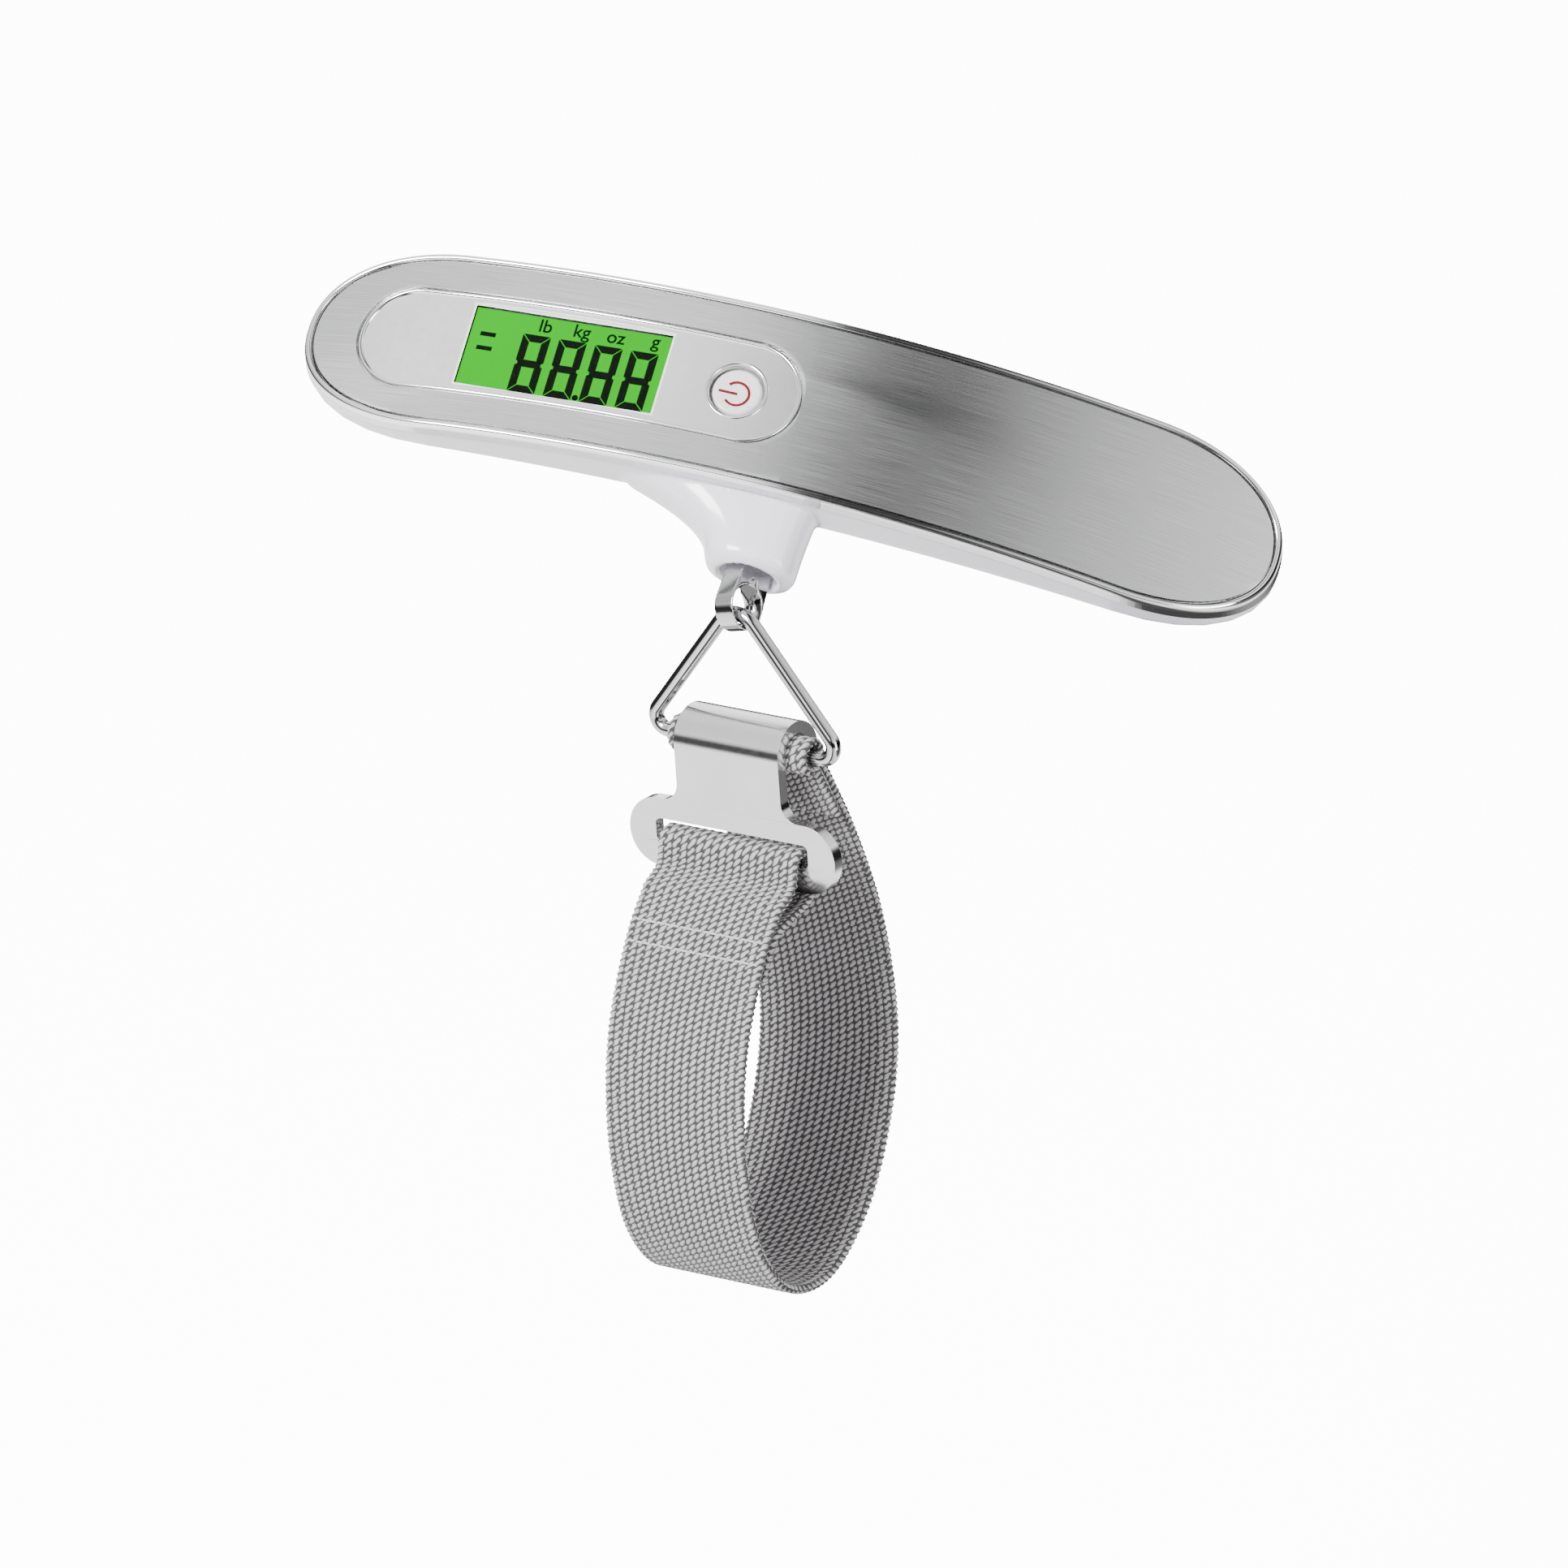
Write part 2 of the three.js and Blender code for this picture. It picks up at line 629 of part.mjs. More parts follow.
function displayPanel() {
  const base = block(
    WINDOW_WIDTH + 2 * DISPLAY_BORDER,
    WINDOW_HEIGHT + 2 * DISPLAY_BORDER,
    DISPLAY_GLASS_DEPTH,
    DISPLAY_GLASS_DEPTH + DISPLAY_GLASS,
  );
  return join(base, block(...lensSize, DISPLAY_TOP_DEPTH, DISPLAY_GLASS_DEPTH + 0.2));
}

function mainBoard() {
  const blank = box(
    BOARD_LEFT,
    BOARD_RIGHT,
    BOARD_DEPTH,
    BOARD_DEPTH + BOARD_THICKNESS,
    -BOARD_WIDTH / 2,
    BOARD_WIDTH / 2,
  );
  const holes = BOARD_SCREWS.map(([x, z]) =>
    moved(rodAlongY(BOARD_SCREW_RADIUS + SCREW_CLEARANCE, 0, 20, SMALL_SIDES), x, 0, z),
  );
  return cut(blank, ...holes);
}

function powerButton() {
  const top = BEZEL_RECESS + BUTTON_RECESS;
  const shelf = BEZEL_BOTTOM + FIT_GAP;
  const radius = BUTTON_DIAMETER / 2;
  return turned([
    [0, top],
    [radius - 0.5, top],
    [radius, top + 0.35],
    [radius, shelf],
    [radius + BUTTON_FLANGE, shelf],
    [radius + BUTTON_FLANGE, shelf + 0.6],
    [1.5, shelf + 0.6],
    [1.5, shelf + 1.2],
    [0, shelf + 1.2],
  ]);
}

function tactSwitch() {
  const top = BOARD_DEPTH - FIT_GAP;
  const body = block(SWITCH_SIZE, SWITCH_SIZE, top - SWITCH_HEIGHT, top);
  return join(body, rodAlongY(1, top - SWITCH_HEIGHT - 0.3, top - 0.2, SMALL_SIDES));
}

// A screw along y: the head's seat is at y = 0 and the shaft runs to y = -length.
function screw(shaftRadius, headRadius, headHeight, length) {
  return turned(
    [
      [0, -length],
      [shaftRadius, -length],
      [shaftRadius, 0],
      [headRadius, 0],
      [headRadius, headHeight * 0.7],
      [headRadius * 0.75, headHeight],
      [0, headHeight],
    ],
    SMALL_SIDES,
  );
}

// ---------------------------------------------------------------- load cell and battery

function loadCell() {
  const half = CELL_THICKNESS / 2;
  const bar = box(
    CELL_LEFT,
    CELL_RIGHT,
    HANGER_Y - half,
    HANGER_Y + half,
    -CELL_HEIGHT / 2,
    CELL_HEIGHT / 2,
  );
  const [first, second] = CELL_RELIEF_X;
  const relief = [first, second].map((x) =>
    moved(rodAlongY(CELL_RELIEF_RADIUS, 0, THROUGH, SMALL_SIDES), x, 0, 0),
  );
  const link = box(first, second, 0, THROUGH, -CELL_RELIEF_RADIUS / 2, CELL_RELIEF_RADIUS / 2);
  const screws = CELL_SCREW_X.map((x) =>
    moved(rodAlongY(CELL_SCREW_RADIUS + SCREW_CLEARANCE, 0, THROUGH, SMALL_SIDES), x, 0, 0),
  );
  const shank = moved(rodAlongZ(SHANK_RADIUS + RUNNING_GAP, -20, 20, SMALL_SIDES), 0, HANGER_Y, 0);
  return cut(bar, ...relief, link, ...screws, shank);
}

// The twist door, drawn with y pointing straight out of the back.
function batteryDoor() {
  const top = -DOOR_SINK;
  const plate = rodAlongY(DOOR_RADIUS, top - DOOR_THICKNESS, top, 36);
  const skirt = rodAlongY(BAY_RADIUS - FIT_GAP, LUG_BOTTOM, top - 0.5, 36);
  const inside = rodAlongY(BAY_RADIUS - FIT_GAP - 1, LUG_BOTTOM - 1, top - DOOR_THICKNESS, 36);
  const ring = rodAlongY(BAY_RADIUS - FIT_GAP - 0.5, LUG_BOTTOM - 1, 1, 36);
  const lugs = [];
  for (let i = 0; i < DOOR_LUGS; i += 1) {
    const centre = (360 * i) / DOOR_LUGS;
    const radius = GROOVE_RADIUS - FIT_GAP;
    lugs.push(cut(doorSector(radius, LUG_BOTTOM, LUG_TOP, centre, DOOR_LUG_ANGLE / 2), ring));
  }
  const [length, width, depth] = DOOR_SLOT;
  const slot = box(-length / 2, length / 2, top - depth, 1, -width / 2, width / 2);
  return cut(join(plate, cut(skirt, inside), ...lugs), slot);
}

const coinTop = LUG_BOTTOM - FIT_GAP;
const coinCell = () =>
  turned(
    [
      [0, coinTop - CELL_BATTERY_HEIGHT],
      [CELL_BATTERY_RADIUS - 1.2, coinTop - CELL_BATTERY_HEIGHT],
      [CELL_BATTERY_RADIUS - 0.6, coinTop - CELL_BATTERY_HEIGHT + 0.5],
      [CELL_BATTERY_RADIUS, coinTop - CELL_BATTERY_HEIGHT + 0.5],
      [CELL_BATTERY_RADIUS, coinTop],
      [0, coinTop],
    ],
    36,
  );

// Negative contact: a leaf under the middle of the cell. Positive: an arc beside its rim.
const negativeContact = () => box(-6, 6, BAY_FLOOR + 0.05, BAY_FLOOR + 0.05 + CONTACT_SHEET, -2, 2);

function positiveContact() {
  const outer = BAY_RADIUS - 0.1;
  const outline = shapeOf([
    ...arcPoints(0, 0, outer, 160, 200, 8),
    ...arcPoints(0, 0, outer - CONTACT_SHEET, 200, 160, 8),
  ]);
  return prismAlongY(outline, coinTop - CELL_BATTERY_HEIGHT + 0.6, coinTop - 0.4);
}

// A thin insulated wire along a smooth route.
function wire(points, radius) {
  const route = new THREE.CatmullRomCurve3(points.map((p) => new THREE.Vector3(...p)));
  const section = new THREE.Shape(
    arcPoints(0, 0, radius, 0, 315, 7).map(([a, b]) => new THREE.Vector2(a, b)),
  );
  return new THREE.ExtrudeGeometry(section, {
    steps: 16,
    bevelEnabled: false,
    extrudePath: route,
  });
}

// ---------------------------------------------------------------- eye, triangle and hook

// Lowest point of the eye's hole, and the wire that rests there.
const EYE_BOTTOM = NECK_TIP + EYE_SOCKET_DEPTH - EYE_LENGTH;
const EYE_SEAT = EYE_BOTTOM + EYE_WALL;
const HANG_POINT = EYE_SEAT + EYE_WIRE_GAP + WIRE_RADIUS;
const NUT_TOP = CELL_HEIGHT / 2 + WASHER_THICKNESS + NUT_HEIGHT + 3 * BOND_GAP;

// The eye: a flat ring with a teardrop hole, rounded where the wire rests, and a shank above it.
function hangerEye() {
  const half = EYE_WIDTH / 2;
  const top = NECK_TIP + EYE_SOCKET_DEPTH;
  const shoulder = half - 0.5;
  const outline = shapeOf([
    [-shoulder, top],
    ...arcPoints(0, EYE_BOTTOM + half, half, 180, 360, SMALL_SIDES),
    [shoulder, top],
  ]);
  const hole = half - EYE_WALL;
  const teardrop = shapeOf([
    ...arcPoints(0, EYE_BOTTOM + half, hole, 165, 375, SMALL_SIDES),
    [0.5, NECK_TIP - 0.4],
    [-0.5, NECK_TIP - 0.4],
  ]);
  const deep = EYE_THICKNESS / 2;
  const saddle = turned([
    [0, -deep - 0.1],
    [hole + EYE_ROUNDING, -deep - 0.1],
    [hole + EYE_ROUNDING * 0.35, -deep / 2],
    [hole, 0],
    [hole + EYE_ROUNDING * 0.35, deep / 2],
    [hole + EYE_ROUNDING, deep + 0.1],
    [0, deep + 0.1],
  ]);
  const plate = prismAlongY(outline, -deep, deep);
  const shank = rodAlongZ(SHANK_RADIUS, top - 1, NUT_TOP + 0.5, SMALL_SIDES);
  const opened = cut(plate, throughFace(teardrop), moved(saddle, 0, 0, EYE_BOTTOM + half));
  return join(opened, shank);
}

const hangerWasher = () =>
  cut(
    rodAlongZ(WASHER_RADIUS, 0, WASHER_THICKNESS),
    rodAlongZ(SHANK_RADIUS + SCREW_CLEARANCE, -5, 5, SMALL_SIDES),
  );

const hangerNut = () =>
  cut(
    rodAlongZ(NUT_RADIUS, 0, NUT_HEIGHT, 6),
    rodAlongZ(SHANK_RADIUS + SCREW_CLEARANCE, -5, 5, SMALL_SIDES),
  );

// A closed route in x and z with its corners rounded.
function roundedRoute(corners, bends, steps) {
  const route = [];
  corners.forEach(([x, z], i) => {
    const before = corners[(i + corners.length - 1) % corners.length];
    const after = corners[(i + 1) % corners.length];
    const corner = new THREE.Vector2(x, z);
    const inward = new THREE.Vector2(...before).sub(corner).normalize();
    const outward = new THREE.Vector2(...after).sub(corner).normalize();
    const half = Math.acos(inward.dot(outward)) / 2;
    const reach = bends[i] / Math.sin(half);
    const centre = inward.clone().add(outward).normalize().multiplyScalar(reach).add(corner);
    const start = inward.multiplyScalar(bends[i] / Math.tan(half)).add(corner).sub(centre);
    const end = outward.multiplyScalar(bends[i] / Math.tan(half)).add(corner).sub(centre);
    const from = Math.atan2(start.y, start.x);
    let sweep = Math.atan2(end.y, end.x) - from;
    if (sweep > Math.PI) sweep -= 2 * Math.PI;
    if (sweep < -Math.PI) sweep += 2 * Math.PI;
    for (let k = 0; k <= steps; k += 1) {
      const angle = from + (sweep * k) / steps;
      route.push([centre.x + bends[i] * Math.cos(angle), centre.y + bends[i] * Math.sin(angle)]);
    }
  });
  return route;
}

// A round wire bent along a closed route in the plane y = 0.
function closedWire(route, radius, sides) {
  const positions = [];
  const indices = [];
  const total = route.length * sides;
  route.forEach(([x, z], i) => {
    const before = route[(i + route.length - 1) % route.length];
    const after = route[(i + 1) % route.length];
    const along = new THREE.Vector2(after[0] - before[0], after[1] - before[1]).normalize();
    for (let j = 0; j < sides; j += 1) {
      const angle = (2 * Math.PI * j) / sides;
      const across = radius * Math.cos(angle);
      positions.push(x - along.y * across, radius * Math.sin(angle), z + along.x * across);
      const a = i * sides + j;
      const b = i * sides + ((j + 1) % sides);
      indices.push(a, (a + sides) % total, b, b, (a + sides) % total, (b + sides) % total);
    }
  });
  const geometry = new THREE.BufferGeometry();
  geometry.setAttribute("position", new THREE.Float32BufferAttribute(positions, 3));
  geometry.setIndex(indices);
  return geometry;
}

// The apex bend passes through z = 0; its sharp corner stands a little above.
function triangleLink() {
  let peak = 0;
  for (let k = 0; k < 30; k += 1) {
    const halfAngle = Math.atan(TRIANGLE_HALF_BASE / (TRIANGLE_HEIGHT + peak));
    peak = TRIANGLE_APEX_BEND / Math.sin(halfAngle) - TRIANGLE_APEX_BEND;
  }
  const corners = [
    [0, peak],
    [-TRIANGLE_HALF_BASE, -TRIANGLE_HEIGHT],
    [TRIANGLE_HALF_BASE, -TRIANGLE_HEIGHT],
  ];
  const bends = [TRIANGLE_APEX_BEND, TRIANGLE_CORNER_BEND, TRIANGLE_CORNER_BEND];
  return closedWire(roundedRoute(corners, bends, 7), WIRE_RADIUS, 12);
}

// Front face of the hook plate; its back face lies one sheet behind.
const HOOK_OUTER_RADIUS = HOOK_INNER_RADIUS + HOOK_SHEET;
const SLOT_CENTRE = -HOOK_WING_DROP + HOOK_SLOT_RAISE;
const HOOK_BOTTOM = -HOOK_WING_DROP - HOOK_WING_RADIUS;
const LOWER_BAR_TOP = SLOT_CENTRE - HOOK_SLOT_HEIGHT / 2;

function hookOutline() {
  const half = HOOK_WIDTH / 2;
  const wing = HOOK_WING_SPAN / 2 - HOOK_WING_RADIUS;
  const fillet = HOOK_NECK_FILLET;
  const shoulder = -HOOK_WING_DROP + HOOK_WING_RADIUS;
  const right = [
    ...arcPoints(wing, -HOOK_WING_DROP, HOOK_WING_RADIUS, -90, 90, SMALL_SIDES),
    ...arcPoints(half + fillet, shoulder + fillet, fillet, 270, 180, 6),
    [half, 0],
  ];
  const left = right.map(([x, z]) => [-x, z]).reverse();
  return shapeOf([...right, ...left]);
}

function hookPlate() {
  const plate = prismAlongY(hookOutline(), -HOOK_OUTER_RADIUS, -HOOK_INNER_RADIUS);
  const slotHalf = WEB_WIDTH / 2 + WEB_SLOT_CLEARANCE;
  const slot = box(
    -slotHalf,
    slotHalf,
    -20,
    5,
    SLOT_CENTRE - HOOK_SLOT_HEIGHT / 2,
    SLOT_CENTRE + HOOK_SLOT_HEIGHT / 2,
  );
  // In the y-z plane the curl starts at the plate's front and turns over the top to the back.
  const curl = shapeOf([
    ...arcPoints(0, 0, HOOK_OUTER_RADIUS, 184, 180 - HOOK_LIP_ANGLE, 20),
    ...arcPoints(0, 0, HOOK_INNER_RADIUS, 180 - HOOK_LIP_ANGLE, 184, 20),
  ]);
  return join(cut(plate, slot), prismAlongX(curl, HOOK_WIDTH));
}

// ---------------------------------------------------------------- webbing

// Middle line of the webbing in y and z, from the roll on the triangle's bar round to the hook.
const ROLL_RADIUS = WIRE_RADIUS + FIT_GAP + WEB_THICKNESS / 2;
const WRAP_FRONT = -HOOK_OUTER_RADIUS - FIT_GAP - WEB_THICKNESS / 2;
const WRAP_BACK = -HOOK_INNER_RADIUS + FIT_GAP + WEB_THICKNESS / 2;

function smooth(points) {
  return new THREE.CatmullRomCurve3(points.map(([y, z]) => new THREE.Vector3(0, y, z)));
}

const loopRoute = smooth([
  [ROLL_RADIUS * Math.cos(radians(ROLL_LEAVES)), ROLL_RADIUS * Math.sin(radians(ROLL_LEAVES))],
  [ROLL_RADIUS * 1.65, -LOOP_DROP * 0.052],
  [LOOP_BACK * 0.53, -LOOP_DROP * 0.18],
  [LOOP_BACK * 0.84, -LOOP_DROP * 0.36],
  [LOOP_BACK - WEB_THICKNESS / 2, -LOOP_DROP * 0.58],
  [LOOP_BACK * 0.78, -LOOP_DROP * 0.74],
  [LOOP_BACK * 0.32, -LOOP_DROP * 0.9],
  [-LOOP_FRONT * 0.2, -LOOP_DROP * 0.985],
  [-LOOP_FRONT * 0.58, -LOOP_DROP * 0.972],
  [-LOOP_FRONT * 0.85, -LOOP_DROP * 0.88],
  [-LOOP_FRONT + WEB_THICKNESS / 2, -LOOP_DROP * 0.7],
  [-LOOP_FRONT * 0.9, -LOOP_DROP * 0.5],
  [-LOOP_FRONT * 0.64, -LOOP_DROP * 0.33],
  [-LOOP_FRONT * 0.44, -LOOP_DROP * 0.255],
]);
const loopLength = loopRoute.getLength();
const seamAt = 1 - FOLD_LENGTH / loopLength;

function pointsOn(route, from, to, steps) {
  return Array.from({ length: steps + 1 }, (_, i) => {
    const point = route.getPointAt(from + ((to - from) * i) / steps);
    return [point.y, point.z];
  });
}

// The same points moved sideways by a distance, to the left of the way they run.
function shifted(points, distance) {
  return points.map(([y, z], i) => {
    const before = points[Math.max(0, i - 1)];
    const after = points[Math.min(points.length - 1, i + 1)];
    const along = new THREE.Vector2(after[0] - before[0], after[1] - before[1]).normalize();
    return [y - along.y * distance, z + along.x * distance];
  });
}

// A strip of webbing along points in the y-z plane, pushed across the webbing's width.
function webbingAlong(points) {
  const half = WEB_THICKNESS / 2;
  return prismAlongX(shapeOf([...shifted(points, half), ...shifted(points, -half).reverse()]), WEB_WIDTH);
}

// How far apart the middle lines of two sewn layers lie.
const SEWN_OFFSET = WEB_THICKNESS * 0.9;

function strapWebbing() {
  const roll = arcPoints(0, 0, ROLL_RADIUS, ROLL_LEAVES, 290, 20);
  const sewn = shifted(pointsOn(loopRoute, 0.02, 0.06, 5), -SEWN_OFFSET);
  const tail = pointsOn(smooth([...roll.slice(-2), ...sewn]), 0, 1, 8);
  const band = pointsOn(loopRoute, 0, seamAt - SEAM_GAP / 2 / loopLength, 56);
  return join(webbingAlong(roll), webbingAlong(tail), webbingAlong(band));
}

// The upper end of the webbing: up the front of the hook's lower bar, back through the slot, and
// down behind it to where it is sewn to itself.
function strapFold() {
  const round = (WRAP_BACK - WRAP_FRONT) / 2;
  const crown = arcPoints((WRAP_FRONT + WRAP_BACK) / 2, LOWER_BAR_TOP, round, 180, 0, 10);
  const front = pointsOn(loopRoute, seamAt + SEAM_GAP / 2 / loopLength, 1, 8);
  const leg = pointsOn(smooth([...front, [WRAP_FRONT - 1, LOWER_BAR_TOP - 3]]), 0, 1, 12);
  const sewn = shifted(pointsOn(loopRoute, seamAt + 0.01, 0.97, 4).reverse(), SEWN_OFFSET);
  const behind = smooth([
    ...crown.slice(-2),
    [WRAP_BACK + 0.1, HOOK_BOTTOM - 0.3],
    [WRAP_BACK - 1.6, HOOK_BOTTOM - 2.2],
    ...sewn,
  ]);
  return join(webbingAlong([...leg, ...crown]), webbingAlong(pointsOn(behind, 0, 1, 22)));
}

// ---------------------------------------------------------------- colours

const steel = finish(0xc4c5c7, 0.32, 0.95);
const chrome = finish(0xd8dadc, 0.12, 1);
const polished = finish(0xe2e3e4, 0.2, 0.9);
const whiteShell = finish(0xeae6ee, 0.35, 0);
const silverPaint = finish(0xc9cacc, 0.4, 0.5);
const clear = finish(0xdff2e2, 0.08, 0);
const litGreen = finish(0x12e512, 0.4, 0);
const guide = finish(0xf1f6ee, 0.3, 0);
const boardGreen = finish(0x1d5b34, 0.55, 0);
const black = finish(0x1b1b1d, 0.6, 0);
const aluminium = finish(0xb9bcc0, 0.35, 0.9);
const zinc = finish(0xa9acb0, 0.4, 0.9);
const brass = finish(0xc9a95c, 0.35, 0.9);
const buttonWhite = finish(0xefecea, 0.35, 0);
const film = finish(0xc88a3a, 0.5, 0);
const redWire = finish(0xa01f1f, 0.5, 0);
const blackWire = finish(0x222222, 0.5, 0);
const webbing = finish(0xb2aeb1, 0.95, 0);

// ---------------------------------------------------------------- assembly

const scale = new THREE.Group();

const barAttitude = new THREE.Group();
barAttitude.rotation.set(radians(BAR_TIP), radians(BAR_INCLINE), 0, "YXZ");
const bar = new THREE.Group();
bar.position.set(0, -BAR_DEPTH / 2, 0);
barAttitude.add(bar);
scale.add(barAttitude);

bar.add(
  mesh("steel_face_plate", steelFacePlate(), steel),
  mesh("front_frame", frontFrame(), chrome),
  mesh("back_shell", backShell(), whiteShell),
  mesh("window_bezel", windowBezel(), silverPaint),
  mesh("load_cell", loadCell(), aluminium),
);

function groupAt(matrix) {
  const group = new THREE.Group();
  group.applyMatrix4(matrix);
  bar.add(group);
  return group;
}

const display = groupAt(faceFrame(WINDOW_X));
const guideTop = DISPLAY_GLASS_DEPTH + DISPLAY_GLASS + FIT_GAP;
const guideBottom = BOARD_DEPTH - FIT_GAP;
const zebraTop = WINDOW_HEIGHT / 2 + DISPLAY_BORDER;
display.add(
  mesh("lcd_lens", block(...lensSize, LENS_DEPTH, LENS_DEPTH + LENS_THICKNESS), clear),
  mesh("lcd_panel", displayPanel(), litGreen),
  mesh(
    "backlight_guide",
    box(-15, 15, guideTop, guideBottom, -WINDOW_HEIGHT / 2 + 1.5, WINDOW_HEIGHT / 2),
    guide,
  ),
  mesh(
    "zebra_strip",
    box(-15, 15, guideTop, guideBottom, -zebraTop, ZEBRA_WIDTH - zebraTop),
    black,
  ),
  mesh("main_board", mainBoard(), boardGreen),
);

[-4, 4].forEach((z, i) => {
  const led = box(15 + FIT_GAP, 15 + FIT_GAP + LED_SIZE, guideBottom - 1.5, guideBottom, z - 1.5, z + 1.5);
  display.add(mesh(`backlight_led_${i + 1}`, led, guide));
});

const chipFrom = BOARD_DEPTH + BOARD_THICKNESS + FIT_GAP;
const chip = mesh("controller_chip", block(CHIP_SIZE, CHIP_SIZE, chipFrom, chipFrom + CHIP_HEIGHT), black);
display.add(chip);

BOARD_SCREWS.forEach(([x, z], i) => {
  const made = screw(BOARD_SCREW_RADIUS, BOARD_HEAD_RADIUS, 1.1, 3.6);
  const fixing = mesh(`board_screw_${i + 1}`, made, zinc);
  fixing.position.set(x, BOARD_DEPTH + BOARD_THICKNESS + FIT_GAP, z);
  display.add(fixing);
});

const button = groupAt(faceFrame(BUTTON_X));
button.add(mesh("power_button", powerButton(), buttonWhite));

const buttonOnBoard = new THREE.Vector3(BUTTON_X, faceY(BUTTON_X), 0).applyMatrix4(
  faceFrame(WINDOW_X).invert(),
);
const tact = mesh("tact_switch", tactSwitch(), black);
tact.position.set(buttonOnBoard.x - 0.5, 0, 0);
display.add(tact);

[1, -1].forEach((side, i) => {
  const [first, second] = CELL_RELIEF_X;
  const from = side * (CELL_HEIGHT / 2 + 0.1);
  const z0 = Math.min(from, from + side * GAUGE_THICKNESS);
  const middle = (first + second) / 2;
  const gauge = box(
    middle - GAUGE_LENGTH / 2,
    middle + GAUGE_LENGTH / 2,
    HANGER_Y - 1.8,
    HANGER_Y + 1.8,
    z0,
    z0 + GAUGE_THICKNESS,
  );
  bar.add(mesh(["strain_gauge_upper", "strain_gauge_lower"][i], gauge, film));
});

// Load cell screws go in from the front, through the cell into bosses on the shell.
CELL_SCREW_X.forEach((x, i) => {
  const seat = HANGER_Y - CELL_THICKNESS / 2 - FIT_GAP;
  const made = screw(CELL_SCREW_RADIUS, 2.5, 1.6, backY(x) - 1 - seat);
  made.rotateX(Math.PI);
  const cellScrew = mesh(`load_cell_screw_${i + 1}`, made, zinc);
  cellScrew.position.set(x, seat, 0);
  bar.add(cellScrew);
});

CASE_SCREWS.forEach(([x, z], i) => {
  const seat = caseSeatY(x) + SHELL_WALL / 2 + FIT_GAP;
  const reach = seat - faceY(x, WEB_BOTTOM) - 2 * FIT_GAP;
  const made = screw(CASE_SCREW_RADIUS, CASE_HEAD_RADIUS, CASE_HEAD_HEIGHT, reach);
  const caseScrew = mesh(`case_screw_${i + 1}`, made, zinc);
  caseScrew.position.set(x, seat, z);
  bar.add(caseScrew);
});

const bay = groupAt(backFrame(BATTERY_X));
bay.add(
  mesh("battery_door", batteryDoor(), whiteShell),
  mesh("coin_cell", coinCell(), zinc),
  mesh("battery_contact_negative", negativeContact(), brass),
  mesh("battery_contact_positive", positiveContact(), brass),
);

// Battery leads pass the nut on its upper side; the gauge lead passes in front of it.
const bayEdge = BATTERY_X - GROOVE_RADIUS - BAY_WALL;
const boardEnd = new THREE.Vector3(BOARD_RIGHT, BOARD_DEPTH + BOARD_THICKNESS, 0).applyMatrix4(
  faceFrame(WINDOW_X),
);
const batteryLead = (z) =>
  wire(
    [
      [bayEdge - 1, 11, z],
      [bayEdge * 0.6, 9.6, z + 0.2],
      [bayEdge * 0.3, 9.2, z],
      [2, 9.2, z],
      [boardEnd.x - 1, boardEnd.y + 1.4, z - 1],
      [boardEnd.x - 7, boardEnd.y + 2.6, z - 2.6],
    ],
    0.45,
  );
const gaugeFrom = CELL_RELIEF_X[0];
const gaugeLead = wire(
  [
    [gaugeFrom - 0.5, HANGER_Y - 1.5, CELL_HEIGHT / 2 + 0.9],
    [gaugeFrom - 2.6, HANGER_Y - 4, CELL_HEIGHT / 2 + 2],
    [1, HANGER_Y - 5.2, CELL_HEIGHT / 2 + 3],
    [boardEnd.x - 1, boardEnd.y - 2.4, CELL_HEIGHT / 2 + 3],
    [boardEnd.x - 4, boardEnd.y - 1.9, CELL_HEIGHT / 2 + 2.6],
  ],
  0.45,
);
bar.add(
  mesh("battery_lead_red", batteryLead(11.7), redWire),
  mesh("battery_lead_black", batteryLead(10.5), blackWire),
  mesh("gauge_lead", gaugeLead, blackWire),
);

// The eye, its washer and its nut turn together about the neck's axis.
const hanger = new THREE.Group();
hanger.position.set(0, HANGER_Y, 0);
hanger.rotation.z = radians(EYE_TURN);
bar.add(hanger);
const washer = mesh("hanger_washer", hangerWasher(), zinc);
washer.position.z = CELL_HEIGHT / 2 + BOND_GAP;
const nut = mesh("hanger_nut", hangerNut(), zinc);
nut.position.z = CELL_HEIGHT / 2 + WASHER_THICKNESS + 2 * BOND_GAP;
hanger.add(mesh("hanger_eye", hangerEye(), chrome), washer, nut);

// Everything below the eye hangs plumb from the wire's resting place in the eye.
scale.updateMatrixWorld(true);
const hangPoint = new THREE.Vector3(0, HANGER_Y, HANG_POINT).applyMatrix4(bar.matrixWorld);
const hanging = new THREE.Group();
hanging.position.copy(hangPoint);
hanging.rotation.z = radians(STRAP_SWIVEL);
scale.add(hanging);
hanging.add(mesh("triangle_link", triangleLink(), chrome));

const onBar = new THREE.Group();
onBar.position.z = -TRIANGLE_HEIGHT;
hanging.add(onBar);
onBar.add(
  mesh("hook_plate", hookPlate(), polished),
  mesh("strap_webbing", strapWebbing(), webbing),
  mesh("strap_fold", strapFold(), webbing),
);

export default scale;
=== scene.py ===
"""Looks of a hand-held digital luggage scale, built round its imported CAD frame.

Lengths are worked out in millimetres and scaled to metres as meshes are made. The bar and the
strap each have a frame of their own, as the CAD model has.
"""

import math

import bmesh
import bpy
import numpy as np
from mathutils import Matrix, Vector


